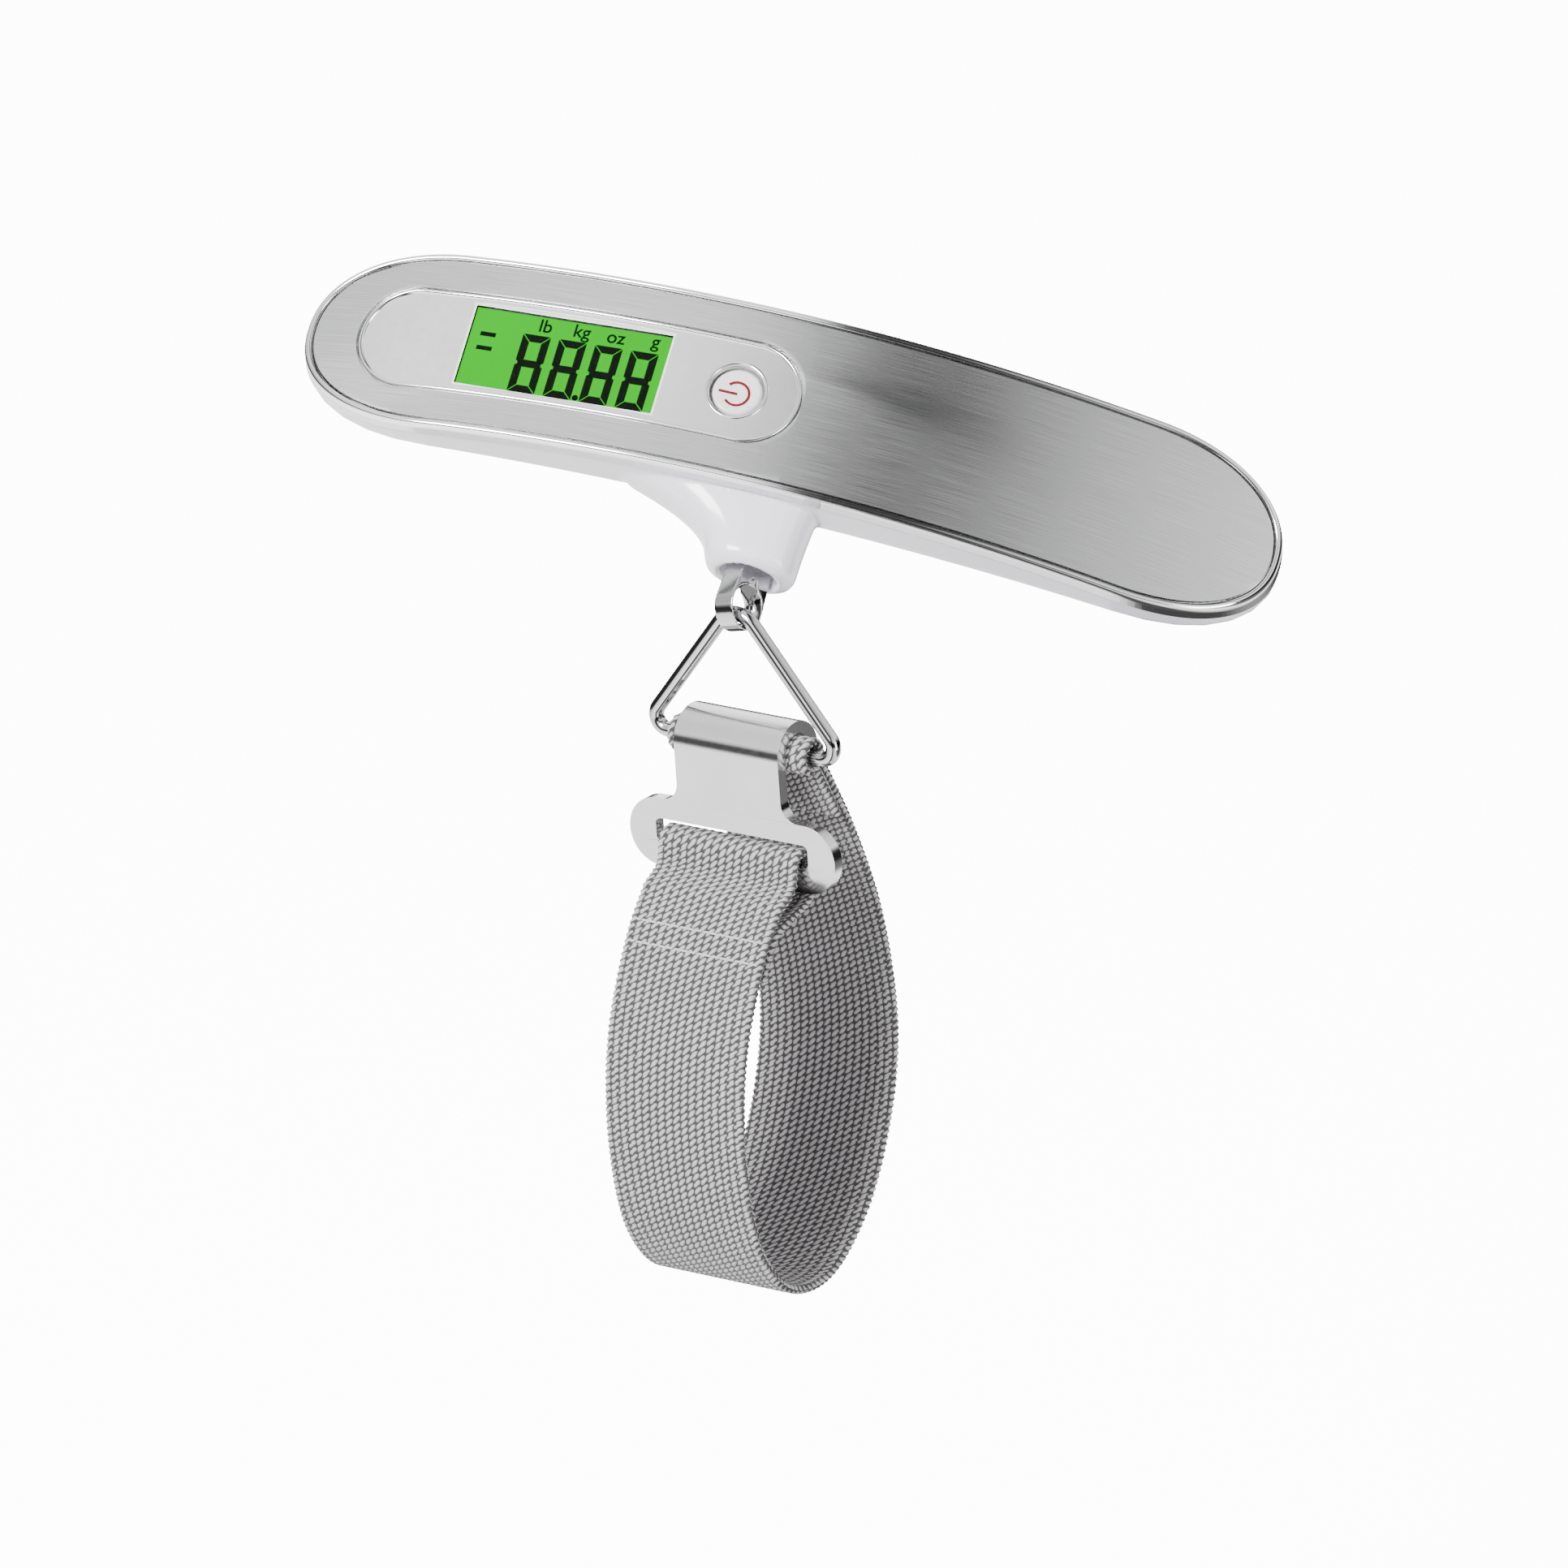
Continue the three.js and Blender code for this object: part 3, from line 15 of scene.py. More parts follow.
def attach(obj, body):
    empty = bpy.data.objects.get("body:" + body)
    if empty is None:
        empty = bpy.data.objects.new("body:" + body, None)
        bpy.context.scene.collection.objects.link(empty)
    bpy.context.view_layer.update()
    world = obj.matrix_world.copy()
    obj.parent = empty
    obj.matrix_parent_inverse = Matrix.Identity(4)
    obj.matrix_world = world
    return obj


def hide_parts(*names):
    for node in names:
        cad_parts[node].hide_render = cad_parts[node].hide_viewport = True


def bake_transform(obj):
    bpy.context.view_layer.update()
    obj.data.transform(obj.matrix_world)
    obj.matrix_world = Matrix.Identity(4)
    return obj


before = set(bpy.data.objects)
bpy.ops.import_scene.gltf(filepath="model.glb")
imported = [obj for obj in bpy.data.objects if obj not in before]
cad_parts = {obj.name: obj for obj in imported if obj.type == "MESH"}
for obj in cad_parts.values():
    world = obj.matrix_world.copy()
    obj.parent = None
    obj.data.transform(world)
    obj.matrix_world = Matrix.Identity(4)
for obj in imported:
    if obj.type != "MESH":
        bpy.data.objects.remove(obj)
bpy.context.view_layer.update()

MM = 0.001

# ---- sizes shared with the CAD

BAR_TIP = -45.5
BAR_INCLINE = 14.0
STRAP_SWIVEL = -25.0
BAR_LENGTH = 156.0
BAR_WIDTH = 30.0
BAR_END = 23.0
BAR_DEPTH = 17.0
FACE_RADIUS = 200.0
OUTLINE_POWER = 2.2
RIM_WIDTH = 1.1
RIM_PROUD = 0.35
RIM_DEPTH = 3.0
RIM_SHOULDER = 0.25
FACE_SHEET = 0.8
WEB_TOP = 1.0
WEB_BOTTOM = 2.4
FIT_GAP = 0.3
BEZEL_X = -34.0
BEZEL_LENGTH = 71.0
BEZEL_HEIGHT = 17.0
BEZEL_RECESS = 0.4
WINDOW_X = -36.6
WINDOW_WIDTH = 33.0
WINDOW_HEIGHT = 14.4
LENS_DEPTH = 1.1
DISPLAY_DEPTH = 1.95
BUTTON_X = -8.6
BUTTON_RADIUS = 3.9
BUTTON_GAP = 0.45
BUTTON_RECESS = 0.55
BUTTON_HOLE = BUTTON_RADIUS + BUTTON_GAP
HANGER_Y = 10.4
HANG_POINT = -32.2
TRIANGLE_HALF_BASE = 19.5
TRIANGLE_HEIGHT = 21.4
APEX_BEND = 4.0
CORNER_BEND = 2.2
WIRE_RADIUS = 1.2
HOOK_WIDTH = 20.0
HOOK_SHEET = 2.0
HOOK_INNER = 3.25
HOOK_LIP_ANGLE = 195.0
WING_SPAN = 39.5
WING_RADIUS = 5.6
WING_DROP = 15.0
NECK_FILLET = 3.0
SLOT_HEIGHT = 3.8
SLOT_RAISE = 0.4
WEB_WIDTH = 27.0
WEB_THICKNESS = 1.5
SLOT_CLEARANCE = 1.1
LOOP_DROP = 85.5
LOOP_FRONT = 25.0
LOOP_BACK = 17.0
ROLL_LEAVES = -30.0
SEWN_LENGTH = 15.0
HOOK_OUTER = HOOK_INNER + HOOK_SHEET
HOOK_MIDDLE = (HOOK_INNER + HOOK_OUTER) / 2
HOOK_BOTTOM = -WING_DROP - WING_RADIUS
SLOT_CENTRE = -WING_DROP + SLOT_RAISE
LOWER_BAR_TOP = SLOT_CENTRE - SLOT_HEIGHT / 2
ROLL_RADIUS = WIRE_RADIUS + FIT_GAP + WEB_THICKNESS / 2
WRAP_FRONT = -HOOK_OUTER - FIT_GAP - WEB_THICKNESS / 2
WRAP_BACK = -HOOK_INNER + FIT_GAP + WEB_THICKNESS / 2

# ---- sizes of the looks

# The bezel is a thin panel on a thicker plug. Its trim's section is pairs of inset and depth.
FRAME_LAP = 1.3
FRAME_INSET = 0.9
PLUG_INSET = 1.6
PLUG_DEPTH = 0.55
PANEL_SHEET = 0.6
PLUG_SHEET = 1.4
CUT_FROM = -3.0
CUT_TO = 6.0
TRIM_SECTION = [
    (-0.02, 0.9),
    (-0.02, 0.2),
    (0.16, 0.02),
    (0.42, 0.02),
    (0.6, 0.28),
    (0.85, 0.62),
    (0.85, 0.9),
]

# The display: places and the digits' size are shares of its window, from the upper left corner.
DIGITS = 4
DIGIT_LEFT = 0.264
DIGIT_PITCH = 0.1785
DIGIT_FOOT = 0.945
DIGIT_WIDTH = 0.137
DIGIT_HEIGHT = 0.7
DIGIT_BAR = 1.25
DIGIT_GAP = 0.1
POINT_PLACE = (0.6, 0.905)
POINT_RADIUS = 0.5
SIDE_BAR_LEFT = 0.058
SIDE_BAR_LEVELS = (0.322, 0.49)
SIDE_BAR_LENGTH = 2.5
SIDE_BAR_HALF = 0.36
UNIT_SIGNS = {"lb": (0.36, 0.13), "kg": (0.54, 0.125), "oz": (0.71, 0.13), "g": (0.905, 0.105)}
UNIT_SIZE = 3.1
PRINT_THICKNESS = 0.03
PRINT_LIFT = 0.02
GLOW_THICKNESS = 0.008
BORDER_WIDTH = 0.34
BORDER_GAP = 0.02

# The power button's cap and the sign printed on it.
CAP_ROUND = 0.55
CAP_FLANGE = 1.3
CAP_STEM = 1.5
CAP_LAYER = 0.6
SIGN_RADIUS = 1.95
SIGN_HALF_LINE = 0.19
SIGN_LEVEL = -0.35
SIGN_SWEEP = 138

# The hook's blank.
LIP_ROUND = 0.8
SLOT_ROUND = 0.9
CURL_CUTS = 40

# The webbing's yarns, edges, pieces and stitches.
YARN_COLUMN = 1.5
YARN_PITCH = 1.15
YARN_STAGGER = 0.37
YARN_RELIEF = 0.05
EDGE_ROUND = 0.75
SCALLOP = 0.16
SCALLOP_PITCH = 1.02
BACK_UV_SHIFT = 40
BAND_COLUMNS = 84
ROUTE_POINTS = 400
FRONT_FROM = 0.66
SEWN_STEP = WEB_THICKNESS * 0.9
STITCHES = 17
STITCH_LENGTH = 1.2
STITCH_LIFT = 0.16
THREAD_RADIUS = 0.17
THREAD_SUNK = 0.1

# ---- frames

TIP = Matrix.Rotation(math.radians(BAR_TIP), 4, "X")
INCLINE = Matrix.Rotation(math.radians(BAR_INCLINE), 4, "Y")
BAR = INCLINE @ TIP @ Matrix.Translation((0, -BAR_DEPTH / 2, 0))
HANG = BAR @ Vector((0, HANGER_Y, HANG_POINT))
SWIVEL = Matrix.Rotation(math.radians(STRAP_SWIVEL), 4, "Z")
HANGING = Matrix.Translation(HANG) @ SWIVEL
STRAP = HANGING @ Matrix.Translation((0, 0, -TRIANGLE_HEIGHT))


def face_y(x, depth=0.0):
    """How far in the arched face lies at x, or a surface that much deeper."""
    return FACE_RADIUS - math.sqrt((FACE_RADIUS - depth) ** 2 - x * x)


def face_frame(x):
    """Frame on the arched face: local x along it, local y straight in."""
    turn = Matrix.Rotation(math.asin(x / FACE_RADIUS), 4, "Z")
    return BAR @ Matrix.Translation((x, face_y(x), 0)) @ turn


# ---- mesh helpers


def make(name, verts, faces, place, material, body, uvs=None, smooth=True):
    """A mesh object from millimetre points in one of the frames, riding on a CAD body."""
    mesh = bpy.data.meshes.new(name)
    points = [tuple((place @ Vector(v)) * MM) for v in verts]
    mesh.from_pydata(points, [], [tuple(f) for f in faces])
    mesh.validate()
    if uvs is not None:
        layer = mesh.uv_layers.new(name="UVMap")
        index = np.empty(len(mesh.loops), dtype=np.int32)
        mesh.loops.foreach_get("vertex_index", index)
        layer.data.foreach_set("uv", np.asarray(uvs, dtype=np.float32)[index].ravel())
    obj = bpy.data.objects.new(name, mesh)
    bpy.context.scene.collection.objects.link(obj)
    tidy_normals(obj)
    if smooth:
        mesh.polygons.foreach_set("use_smooth", [True] * len(mesh.polygons))
    mesh.materials.append(material)
    if body:
        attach(obj, body)
    return obj


def tidy_normals(obj):
    """Outward normals, with doubled points merged."""
    made = bmesh.new()
    made.from_mesh(obj.data)
    bmesh.ops.remove_doubles(made, verts=made.verts, dist=1e-6)
    bmesh.ops.recalc_face_normals(made, faces=made.faces)
    made.to_mesh(obj.data)
    made.free()


def modifier(obj, kind, **values):
    made = obj.modifiers.new(kind.lower(), kind)
    for key, value in values.items():
        setattr(made, key, value)


def bevelled(obj, width, segments=2, angle=35):
    """A small rounded edge wherever two faces meet sharply."""
    modifier(
        obj,
        "BEVEL",
        width=width * MM,
        segments=segments,
        limit_method="ANGLE",
        angle_limit=math.radians(angle),
        harden_normals=False,
    )
    modifier(obj, "WEIGHTED_NORMAL", keep_sharp=True)


def applied(obj):
    """The object with its modifiers made permanent."""
    graph = bpy.context.evaluated_depsgraph_get()
    done = bpy.data.meshes.new_from_object(obj.evaluated_get(graph))
    obj.modifiers.clear()
    obj.data = done
    return obj


def cut_away(obj, *cutters):
    """Takes the cutters out of the object and removes them."""
    for cutter in cutters:
        modifier(obj, "BOOLEAN", operation="DIFFERENCE", object=cutter, solver="EXACT")
    applied(obj)
    for cutter in cutters:
        bpy.data.objects.remove(cutter)


def mesh_of(curve):
    """The mesh that a curve or a text makes."""
    temporary = bpy.data.objects.new(curve.name, curve)
    bpy.context.scene.collection.objects.link(temporary)
    graph = bpy.context.evaluated_depsgraph_get()
    mesh = bpy.data.meshes.new_from_object(temporary.evaluated_get(graph))
    bpy.data.objects.remove(temporary)
    return mesh


def sweep(rings, closed_rings=True, closed_path=False, caps=True):
    """Faces that join equal rings of points, and the flat list of points."""
    count = len(rings[0])
    verts = [p for ring in rings for p in ring]
    faces = []
    last = len(rings) if closed_path else len(rings) - 1
    for i in range(last):
        a = i * count
        b = ((i + 1) % len(rings)) * count
        for j in range(count if closed_rings else count - 1):
            k = (j + 1) % count
            faces.append((a + j, a + k, b + k, b + j))
    if caps and not closed_path:
        faces.append(tuple(range(count)))
        faces.append(tuple(range((len(rings) - 1) * count, len(rings) * count)))
    return verts, faces


def turned(profile, sides=64):
    """A solid of revolution about y from [radius, y] pairs."""
    rings = []
    for i in range(sides):
        angle = 2 * math.pi * i / sides
        rings.append([(r * math.cos(angle), y, r * math.sin(angle)) for r, y in profile])
    return sweep(rings, closed_rings=False, closed_path=True, caps=False)


def arc(cx, cy, radius, start, end, steps):
    angles = np.radians(np.linspace(start, end, steps + 1))
    return [(cx + radius * math.cos(a), cy + radius * math.sin(a)) for a in angles]


def rectangle(half_w, half_h):
    return [(-half_w, -half_h), (half_w, -half_h), (half_w, half_h), (-half_w, half_h)]


# ---- materials


class Nodes:
    """Short calls for building a node material."""

    def __init__(self, name, **values):
        self.material = bpy.data.materials.new(name)
        self.material.use_nodes = True
        self.tree = self.material.node_tree
        self.shader = self.tree.nodes["Principled BSDF"]
        for key, value in values.items():
            self.shader.inputs[key.replace("_", " ")].default_value = value

    def add(self, kind, **inputs):
        node = self.tree.nodes.new("ShaderNode" + kind)
        for key, value in inputs.items():
            if isinstance(value, bpy.types.NodeSocket):
                self.tree.links.new(value, node.inputs[key])
            else:
                node.inputs[key].default_value = value
        return node

    def math(self, operation, first, second=0.0):
        node = self.tree.nodes.new("ShaderNodeMath")
        node.operation = operation
        for slot, value in enumerate((first, second)):
            if isinstance(value, bpy.types.NodeSocket):
                self.tree.links.new(value, node.inputs[slot])
            else:
                node.inputs[slot].default_value = value
        return node.outputs[0]

    def where(self, scale, turn=(0, 0, 0), uv=False):
        """Object coordinates, or the mesh's own UV map, scaled per axis."""
        source = self.tree.nodes.new("ShaderNodeTexCoord")
        socket = source.outputs["UV" if uv else "Object"]
        mapping = self.add("Mapping", Vector=socket, Scale=scale, Rotation=turn)
        return mapping.outputs[0]

    def noise(self, scale, detail, uv=False, turn=(0, 0, 0)):
        place = self.where(scale, turn, uv)
        return self.add("TexNoise", Vector=place, Scale=1.0, Detail=detail).outputs["Fac"]

    def swing(self, factor, amount):
        """A factor from 0 to 1, turned into one round zero."""
        return self.math("MULTIPLY", self.math("SUBTRACT", factor, 0.5), amount)

    def ramp(self, factor, *stops):
        node = self.tree.nodes.new("ShaderNodeValToRGB")
        self.tree.links.new(factor, node.inputs[0])
        while len(node.color_ramp.elements) < len(stops):
            node.color_ramp.elements.new(0.5)
        for element, (position, colour) in zip(node.color_ramp.elements, stops):
            element.position = position
            element.color = (*colour, 1)
        return node.outputs[0]

    def link(self, socket, name):
        self.tree.links.new(socket, self.shader.inputs[name])

    def spread(self, factor, low, high, name):
        """A shader value that varies between two limits."""
        node = self.add("MapRange", Value=factor)
        node.inputs["To Min"].default_value = low
        node.inputs["To Max"].default_value = high
        self.link(node.outputs[0], name)

    def bump(self, height, distance, strength=1.0):
        node = self.add("Bump", Height=height)
        node.inputs["Distance"].default_value = distance * MM
        node.inputs["Strength"].default_value = strength
        self.link(node.outputs[0], "Normal")


def plastic(name, colour, roughness, coat=0.0, shine=0.5):
    made = Nodes(name, Roughness=roughness, Coat_Weight=coat, Coat_Roughness=0.08)
    made.shader.inputs["Specular IOR Level"].default_value = shine
    broad = made.noise((60, 60, 60), 3)
    low = tuple(c * 0.97 for c in colour)
    made.link(made.ramp(broad, (0.3, low), (0.7, colour)), "Base Color")
    fine = made.noise((2600, 2600, 2600), 2)
    made.spread(fine, roughness * 0.85, roughness * 1.2, "Roughness")
    made.bump(fine, 0.01, 0.12)
    return made.material


def metal(name, colour, roughness, wear=0.25, grain=0.006):
    made = Nodes(name, Metallic=1.0)
    broad = made.noise((90, 90, 90), 5)
    low = tuple(c * 0.92 for c in colour)
    made.link(made.ramp(broad, (0.3, low), (0.65, colour)), "Base Color")
    fine = made.noise((900, 900, 900), 6)
    made.spread(fine, roughness * (1 - wear), roughness * (1 + wear), "Roughness")
    made.bump(fine, grain, 0.2)
    return made.material


def brushed(name, colour):
    """Steel brushed along the bar; the UV map is in millimetres, u along the bar."""
    made = Nodes(name, Metallic=1.0, Anisotropic=0.45)
    strokes = made.noise((0.09, 11.0, 1.0), 5, uv=True)
    specks = made.noise((3.0, 3.0, 1.0), 3, uv=True)
    low = tuple(c * 0.78 for c in colour)
    high = tuple(min(1, c * 1.06) for c in colour)
    made.link(made.ramp(strokes, (0.3, low), (0.7, high)), "Base Color")
    stroke_part = made.math("MULTIPLY", strokes, 0.75)
    speck_part = made.math("MULTIPLY", specks, 0.25)
    both = made.math("ADD", stroke_part, speck_part)
    made.spread(both, 0.14, 0.3, "Roughness")
    made.bump(both, 0.03, 0.35)
    return made.material


def woven_with_painted_shade(name, light, dark):
    """Twill webbing: leaning ovals of yarn in staggered columns, coloured with painted light and
    shade: lighter on each yarn's crown and near-black painted shade in the gaps between them.
    """
    made = Nodes(name, Roughness=0.85, Sheen_Weight=0.25, Sheen_Roughness=0.4)
    place = made.where((1, 1, 1), uv=True)
    split = made.add("SeparateXYZ", Vector=place)
    across = made.math("DIVIDE", split.outputs["X"], YARN_COLUMN)
    column = made.math("FLOOR", across)
    in_column = made.math("SUBTRACT", made.math("FRACT", across), 0.5)
    lean = made.math("MULTIPLY", in_column, -1.0)
    along = made.math("DIVIDE", split.outputs["Y"], YARN_PITCH)
    stagger = made.math("MULTIPLY", column, YARN_STAGGER)
    row = made.math("FRACT", made.math("ADD", made.math("ADD", along, stagger), lean))
    in_row = made.math("SUBTRACT", row, 0.5)
    wide = made.math("POWER", made.math("MULTIPLY", made.math("ABSOLUTE", in_column), 2.05), 2.0)
    tall = made.math("POWER", made.math("MULTIPLY", made.math("ABSOLUTE", in_row), 2.2), 2.0)
    dome = made.math("SUBTRACT", 1.0, made.math("ADD", wide, tall))
    height = made.math("SQRT", made.math("MAXIMUM", dome, 0.0))
    fibre = made.noise((9.0, 2.2, 1.0), 3, uv=True, turn=(0, 0, 0.5))
    fuzz = made.noise((0.18, 0.18, 1.0), 4, uv=True)
    # Painted light and shade: the colour follows each yarn's height, so the crowns are painted
    # lighter and the gaps between yarns are painted near-black shade. The fibre and fuzz noise are
    # the yarn's own tone.
    shade = made.math("ADD", height, made.swing(fibre, 0.35))
    shade = made.math("ADD", shade, made.swing(fuzz, 0.3))
    middle = tuple((a * 2 + b) / 3 for a, b in zip(light, dark))
    made.link(made.ramp(shade, (0.16, dark), (0.56, middle), (1.0, light)), "Base Color")
    made.spread(fibre, 0.75, 0.98, "Roughness")
    relief = made.math("ADD", height, made.math("MULTIPLY", fibre, 0.18))
    made.bump(relief, 0.34, 1.0)
    return made.material


def glowing(name, colour, strength):
    made = Nodes(name, Roughness=0.4, Emission_Strength=strength)
    made.shader.inputs["Specular IOR Level"].default_value = 0.0
    broad = made.noise((40, 40, 40), 2)
    low = tuple(c * 0.93 for c in colour)
    even = made.ramp(broad, (0.35, low), (0.65, colour))
    made.shader.inputs["Base Color"].default_value = (0, 0.02, 0, 1)
    made.link(even, "Emission Color")
    return made.material


def glass(name):
    made = Nodes(name, Roughness=0.04, Alpha=0.04, Base_Color=(0.02, 0.02, 0.02, 1))
    made.shader.inputs["Specular IOR Level"].default_value = 0.12
    smears = made.noise((120, 120, 120), 3)
    made.spread(smears, 0.03, 0.09, "Roughness")
    return made.material


STEEL = brushed("brushed_face", (0.66, 0.665, 0.675))
CHROME = metal("rim_chrome", (0.88, 0.885, 0.89), 0.1, grain=0.003)
EYE = metal("polished_eye", (0.55, 0.553, 0.56), 0.08)
LINK = metal("polished_wire", (0.6, 0.603, 0.61), 0.08)
PLATE = metal("polished_plate", (0.8, 0.8, 0.8), 0.16)
WHITE = plastic("white_shell", (0.86, 0.83, 0.9), 0.2, 0.5)
DOOR = plastic("white_door", (0.82, 0.8, 0.85), 0.28, 0.2)
CAP = plastic("button_cap", (0.84, 0.82, 0.81), 0.22, 0.4)
BEZEL = metal("silver_bezel", (0.76, 0.765, 0.775), 0.3, 0.15, 0.004)
PRINT_WHITE = plastic("printed_white", (0.85, 0.86, 0.85), 0.35)
PRINT_BLACK = plastic("display_black", (0.004, 0.006, 0.004), 0.6, shine=0.0)
PRINT_RED = plastic("printed_red", (0.16, 0.004, 0.008), 0.4, shine=0.2)
LIT = glowing("lit_green", (0.0, 0.8, 0.0), 1.25)
CLEAR = glass("clear_lens")
# The first colour is the painted lit crown of the yarns, the second the painted shade in the gaps
# between them.
WEBBING = woven_with_painted_shade("grey_webbing_painted_shade", (0.52, 0.5, 0.515), (0.04, 0.038, 0.04))
THREAD = plastic("stitch_thread", (0.6, 0.58, 0.59), 0.8)

INNER = {
    "backlight_guide": plastic("light_guide", (0.9, 0.93, 0.88), 0.15, 0.3),
    "zebra_strip": plastic("zebra_rubber", (0.03, 0.03, 0.03), 0.7),
    "backlight_led_1": plastic("led_body", (0.85, 0.85, 0.78), 0.3),
    "backlight_led_2": plastic("led_body_2", (0.85, 0.85, 0.78), 0.3),
    "main_board": plastic("solder_resist", (0.02, 0.16, 0.06), 0.35, 0.3),
    "controller_chip": plastic("chip_body", (0.02, 0.02, 0.022), 0.5),
    "tact_switch": plastic("switch_body", (0.03, 0.03, 0.03), 0.45),
    "load_cell": metal("milled_aluminium", (0.7, 0.71, 0.72), 0.35),
    "strain_gauge_upper": plastic("gauge_film", (0.5, 0.24, 0.06), 0.4, 0.3),
    "strain_gauge_lower": plastic("gauge_film_2", (0.5, 0.24, 0.06), 0.4, 0.3),
    "coin_cell": metal("coin_steel", (0.68, 0.69, 0.7), 0.25),
    "battery_contact_negative": metal("contact_strip", (0.75, 0.6, 0.32), 0.3),
    "battery_contact_positive": metal("contact_strip_2", (0.75, 0.6, 0.32), 0.3),
    "battery_lead_red": plastic("red_insulation", (0.5, 0.02, 0.02), 0.4),
    "battery_lead_black": plastic("black_insulation", (0.02, 0.02, 0.02), 0.4),
    "gauge_lead": plastic("black_insulation_2", (0.02, 0.02, 0.02), 0.4),
    "lcd_lens": CLEAR,
    "lcd_panel": plastic("display_glass", (0.03, 0.05, 0.03), 0.2),
    "battery_door": DOOR,
    "back_shell": WHITE,
    "hanger_eye": EYE,
}
SCREW = metal("zinc_screw", (0.62, 0.63, 0.65), 0.3)
BEVELS = {"main_board": 0.1, "load_cell": 0.25, "battery_door": 0.15, "lcd_panel": 0.1}
PLAIN_BEVEL = 0.08
REMESH_VOXELS = {"back_shell": 0.32, "hanger_eye": 0.14}


def dress_cad_nodes():
    """Materials and softened edges for the nodes that stay as the CAD made them."""
    for name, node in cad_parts.items():
        node.data.materials.clear()
        node.data.materials.append(INNER.get(name, SCREW))
        if name in REMESH_VOXELS:
            voxel = REMESH_VOXELS[name] * MM
            modifier(node, "REMESH", mode="VOXEL", voxel_size=voxel, use_smooth_shade=True)
            modifier(node, "SMOOTH", factor=0.5, iterations=9)
        else:
            bevelled(node, BEVELS.get(name, PLAIN_BEVEL), 2, 40)


# ---- the face


def half_width(x, margin):
    """Half the width of the bar's outline at x, drawn in by a margin."""
    half_length = BAR_LENGTH / 2 - margin
    end = BAR_END - margin
    past = min(1.0, max(0.0, (abs(x) - (half_length - end)) / end))
    return (BAR_WIDTH / 2 - margin) * (1 - past**OUTLINE_POWER) ** (1 / OUTLINE_POWER)


def stadium_half(x, centre, length, height):
    """Half height of a round-ended slot at x."""
    radius = height / 2
    past = max(0.0, abs(x - centre) - (length / 2 - radius))
    return math.sqrt(max(0.0, radius * radius - past * past))


def columns(margin, slot_length):
    """Places along the bar, closer together at the bar's ends and at the slot's ends."""
    end = BAR_END - margin
    straight = BAR_LENGTH / 2 - margin - end
    turn = np.linspace(0.02, math.pi / 2, 26)
    right = straight + end * np.cos(turn)
    places = [right, -right, np.linspace(-straight, straight, 60)]
    radius = BEZEL_HEIGHT / 2 + FIT_GAP
    reach = slot_length / 2 - radius
    quarter = np.cos(np.linspace(0, math.pi / 2, 22))
    for side in (-1, 1):
        places.append(BEZEL_X + side * (reach + radius * quarter))
    merged = np.sort(np.concatenate(places))
    keep = np.concatenate(([True], np.diff(merged) > 0.02))
    return merged[keep]


def arched_point(x, depth, z):
    """A point x along the face, measured on its surface, and depth below it."""
    turn = math.asin(x / FACE_RADIUS)
    radius = FACE_RADIUS - depth
    return (radius * math.sin(turn), FACE_RADIUS - radius * math.cos(turn), z)


def arched_sheet(xs, top, slot, depth, rows=8):
    """Points and faces of a sheet on the arch between -top(x) and top(x), without the slot."""
    verts, faces, uvs = [], [], []
    for side in (1, -1):
        start = len(verts)
        for x in xs:
            low = slot(x)
            for j in range(rows + 1):
                z = side * (low + (top(x) - low) * j / rows)
                verts.append(arched_point(x, depth, z))
                uvs.append((x, z))
        for i in range(len(xs) - 1):
            for j in range(rows):
                a = start + i * (rows + 1) + j
                b = a + rows + 1
                if slot(xs[i]) >= top(xs[i]) or slot(xs[i + 1]) >= top(xs[i + 1]):
                    continue
                faces.append((a, b, b + 1, a + 1) if side > 0 else (a, a + 1, b + 1, b))
    return verts, faces, uvs


def thickened(obj, thickness):
    modifier(obj, "SOLIDIFY", thickness=thickness * MM, offset=-1.0)
    return applied(obj)


def sheet_on_face(name, margin, slot_length, slot_height, depth, thickness, material):
    xs = columns(margin, slot_length)
    verts, faces, uvs = arched_sheet(
        xs,
        lambda x: half_width(x, margin),
        lambda x: stadium_half(x, BEZEL_X, slot_length, slot_height),
        depth,
    )
    obj = make(name, verts, faces, BAR, material, "bar", uvs)
    face_outward(obj)
    return thickened(obj, thickness)


def face_outward(obj):
    """Turns an open sheet so that its normals leave the bar's face."""
    outward = (BAR.to_3x3() @ Vector((0, -1, 0))).normalized()
    total = sum(p.normal.dot(outward) for p in obj.data.polygons)
    if total < 0:
        obj.data.flip_normals()


def face_plate():
    margin = RIM_WIDTH + FIT_GAP
    length = BEZEL_LENGTH + 2 * FIT_GAP
    height = BEZEL_HEIGHT + 2 * FIT_GAP
    plate = sheet_on_face("face_plate", margin, length, height, 0, FACE_SHEET, STEEL)
    bevelled(plate, 0.28, 3)
    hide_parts("steel_face_plate")


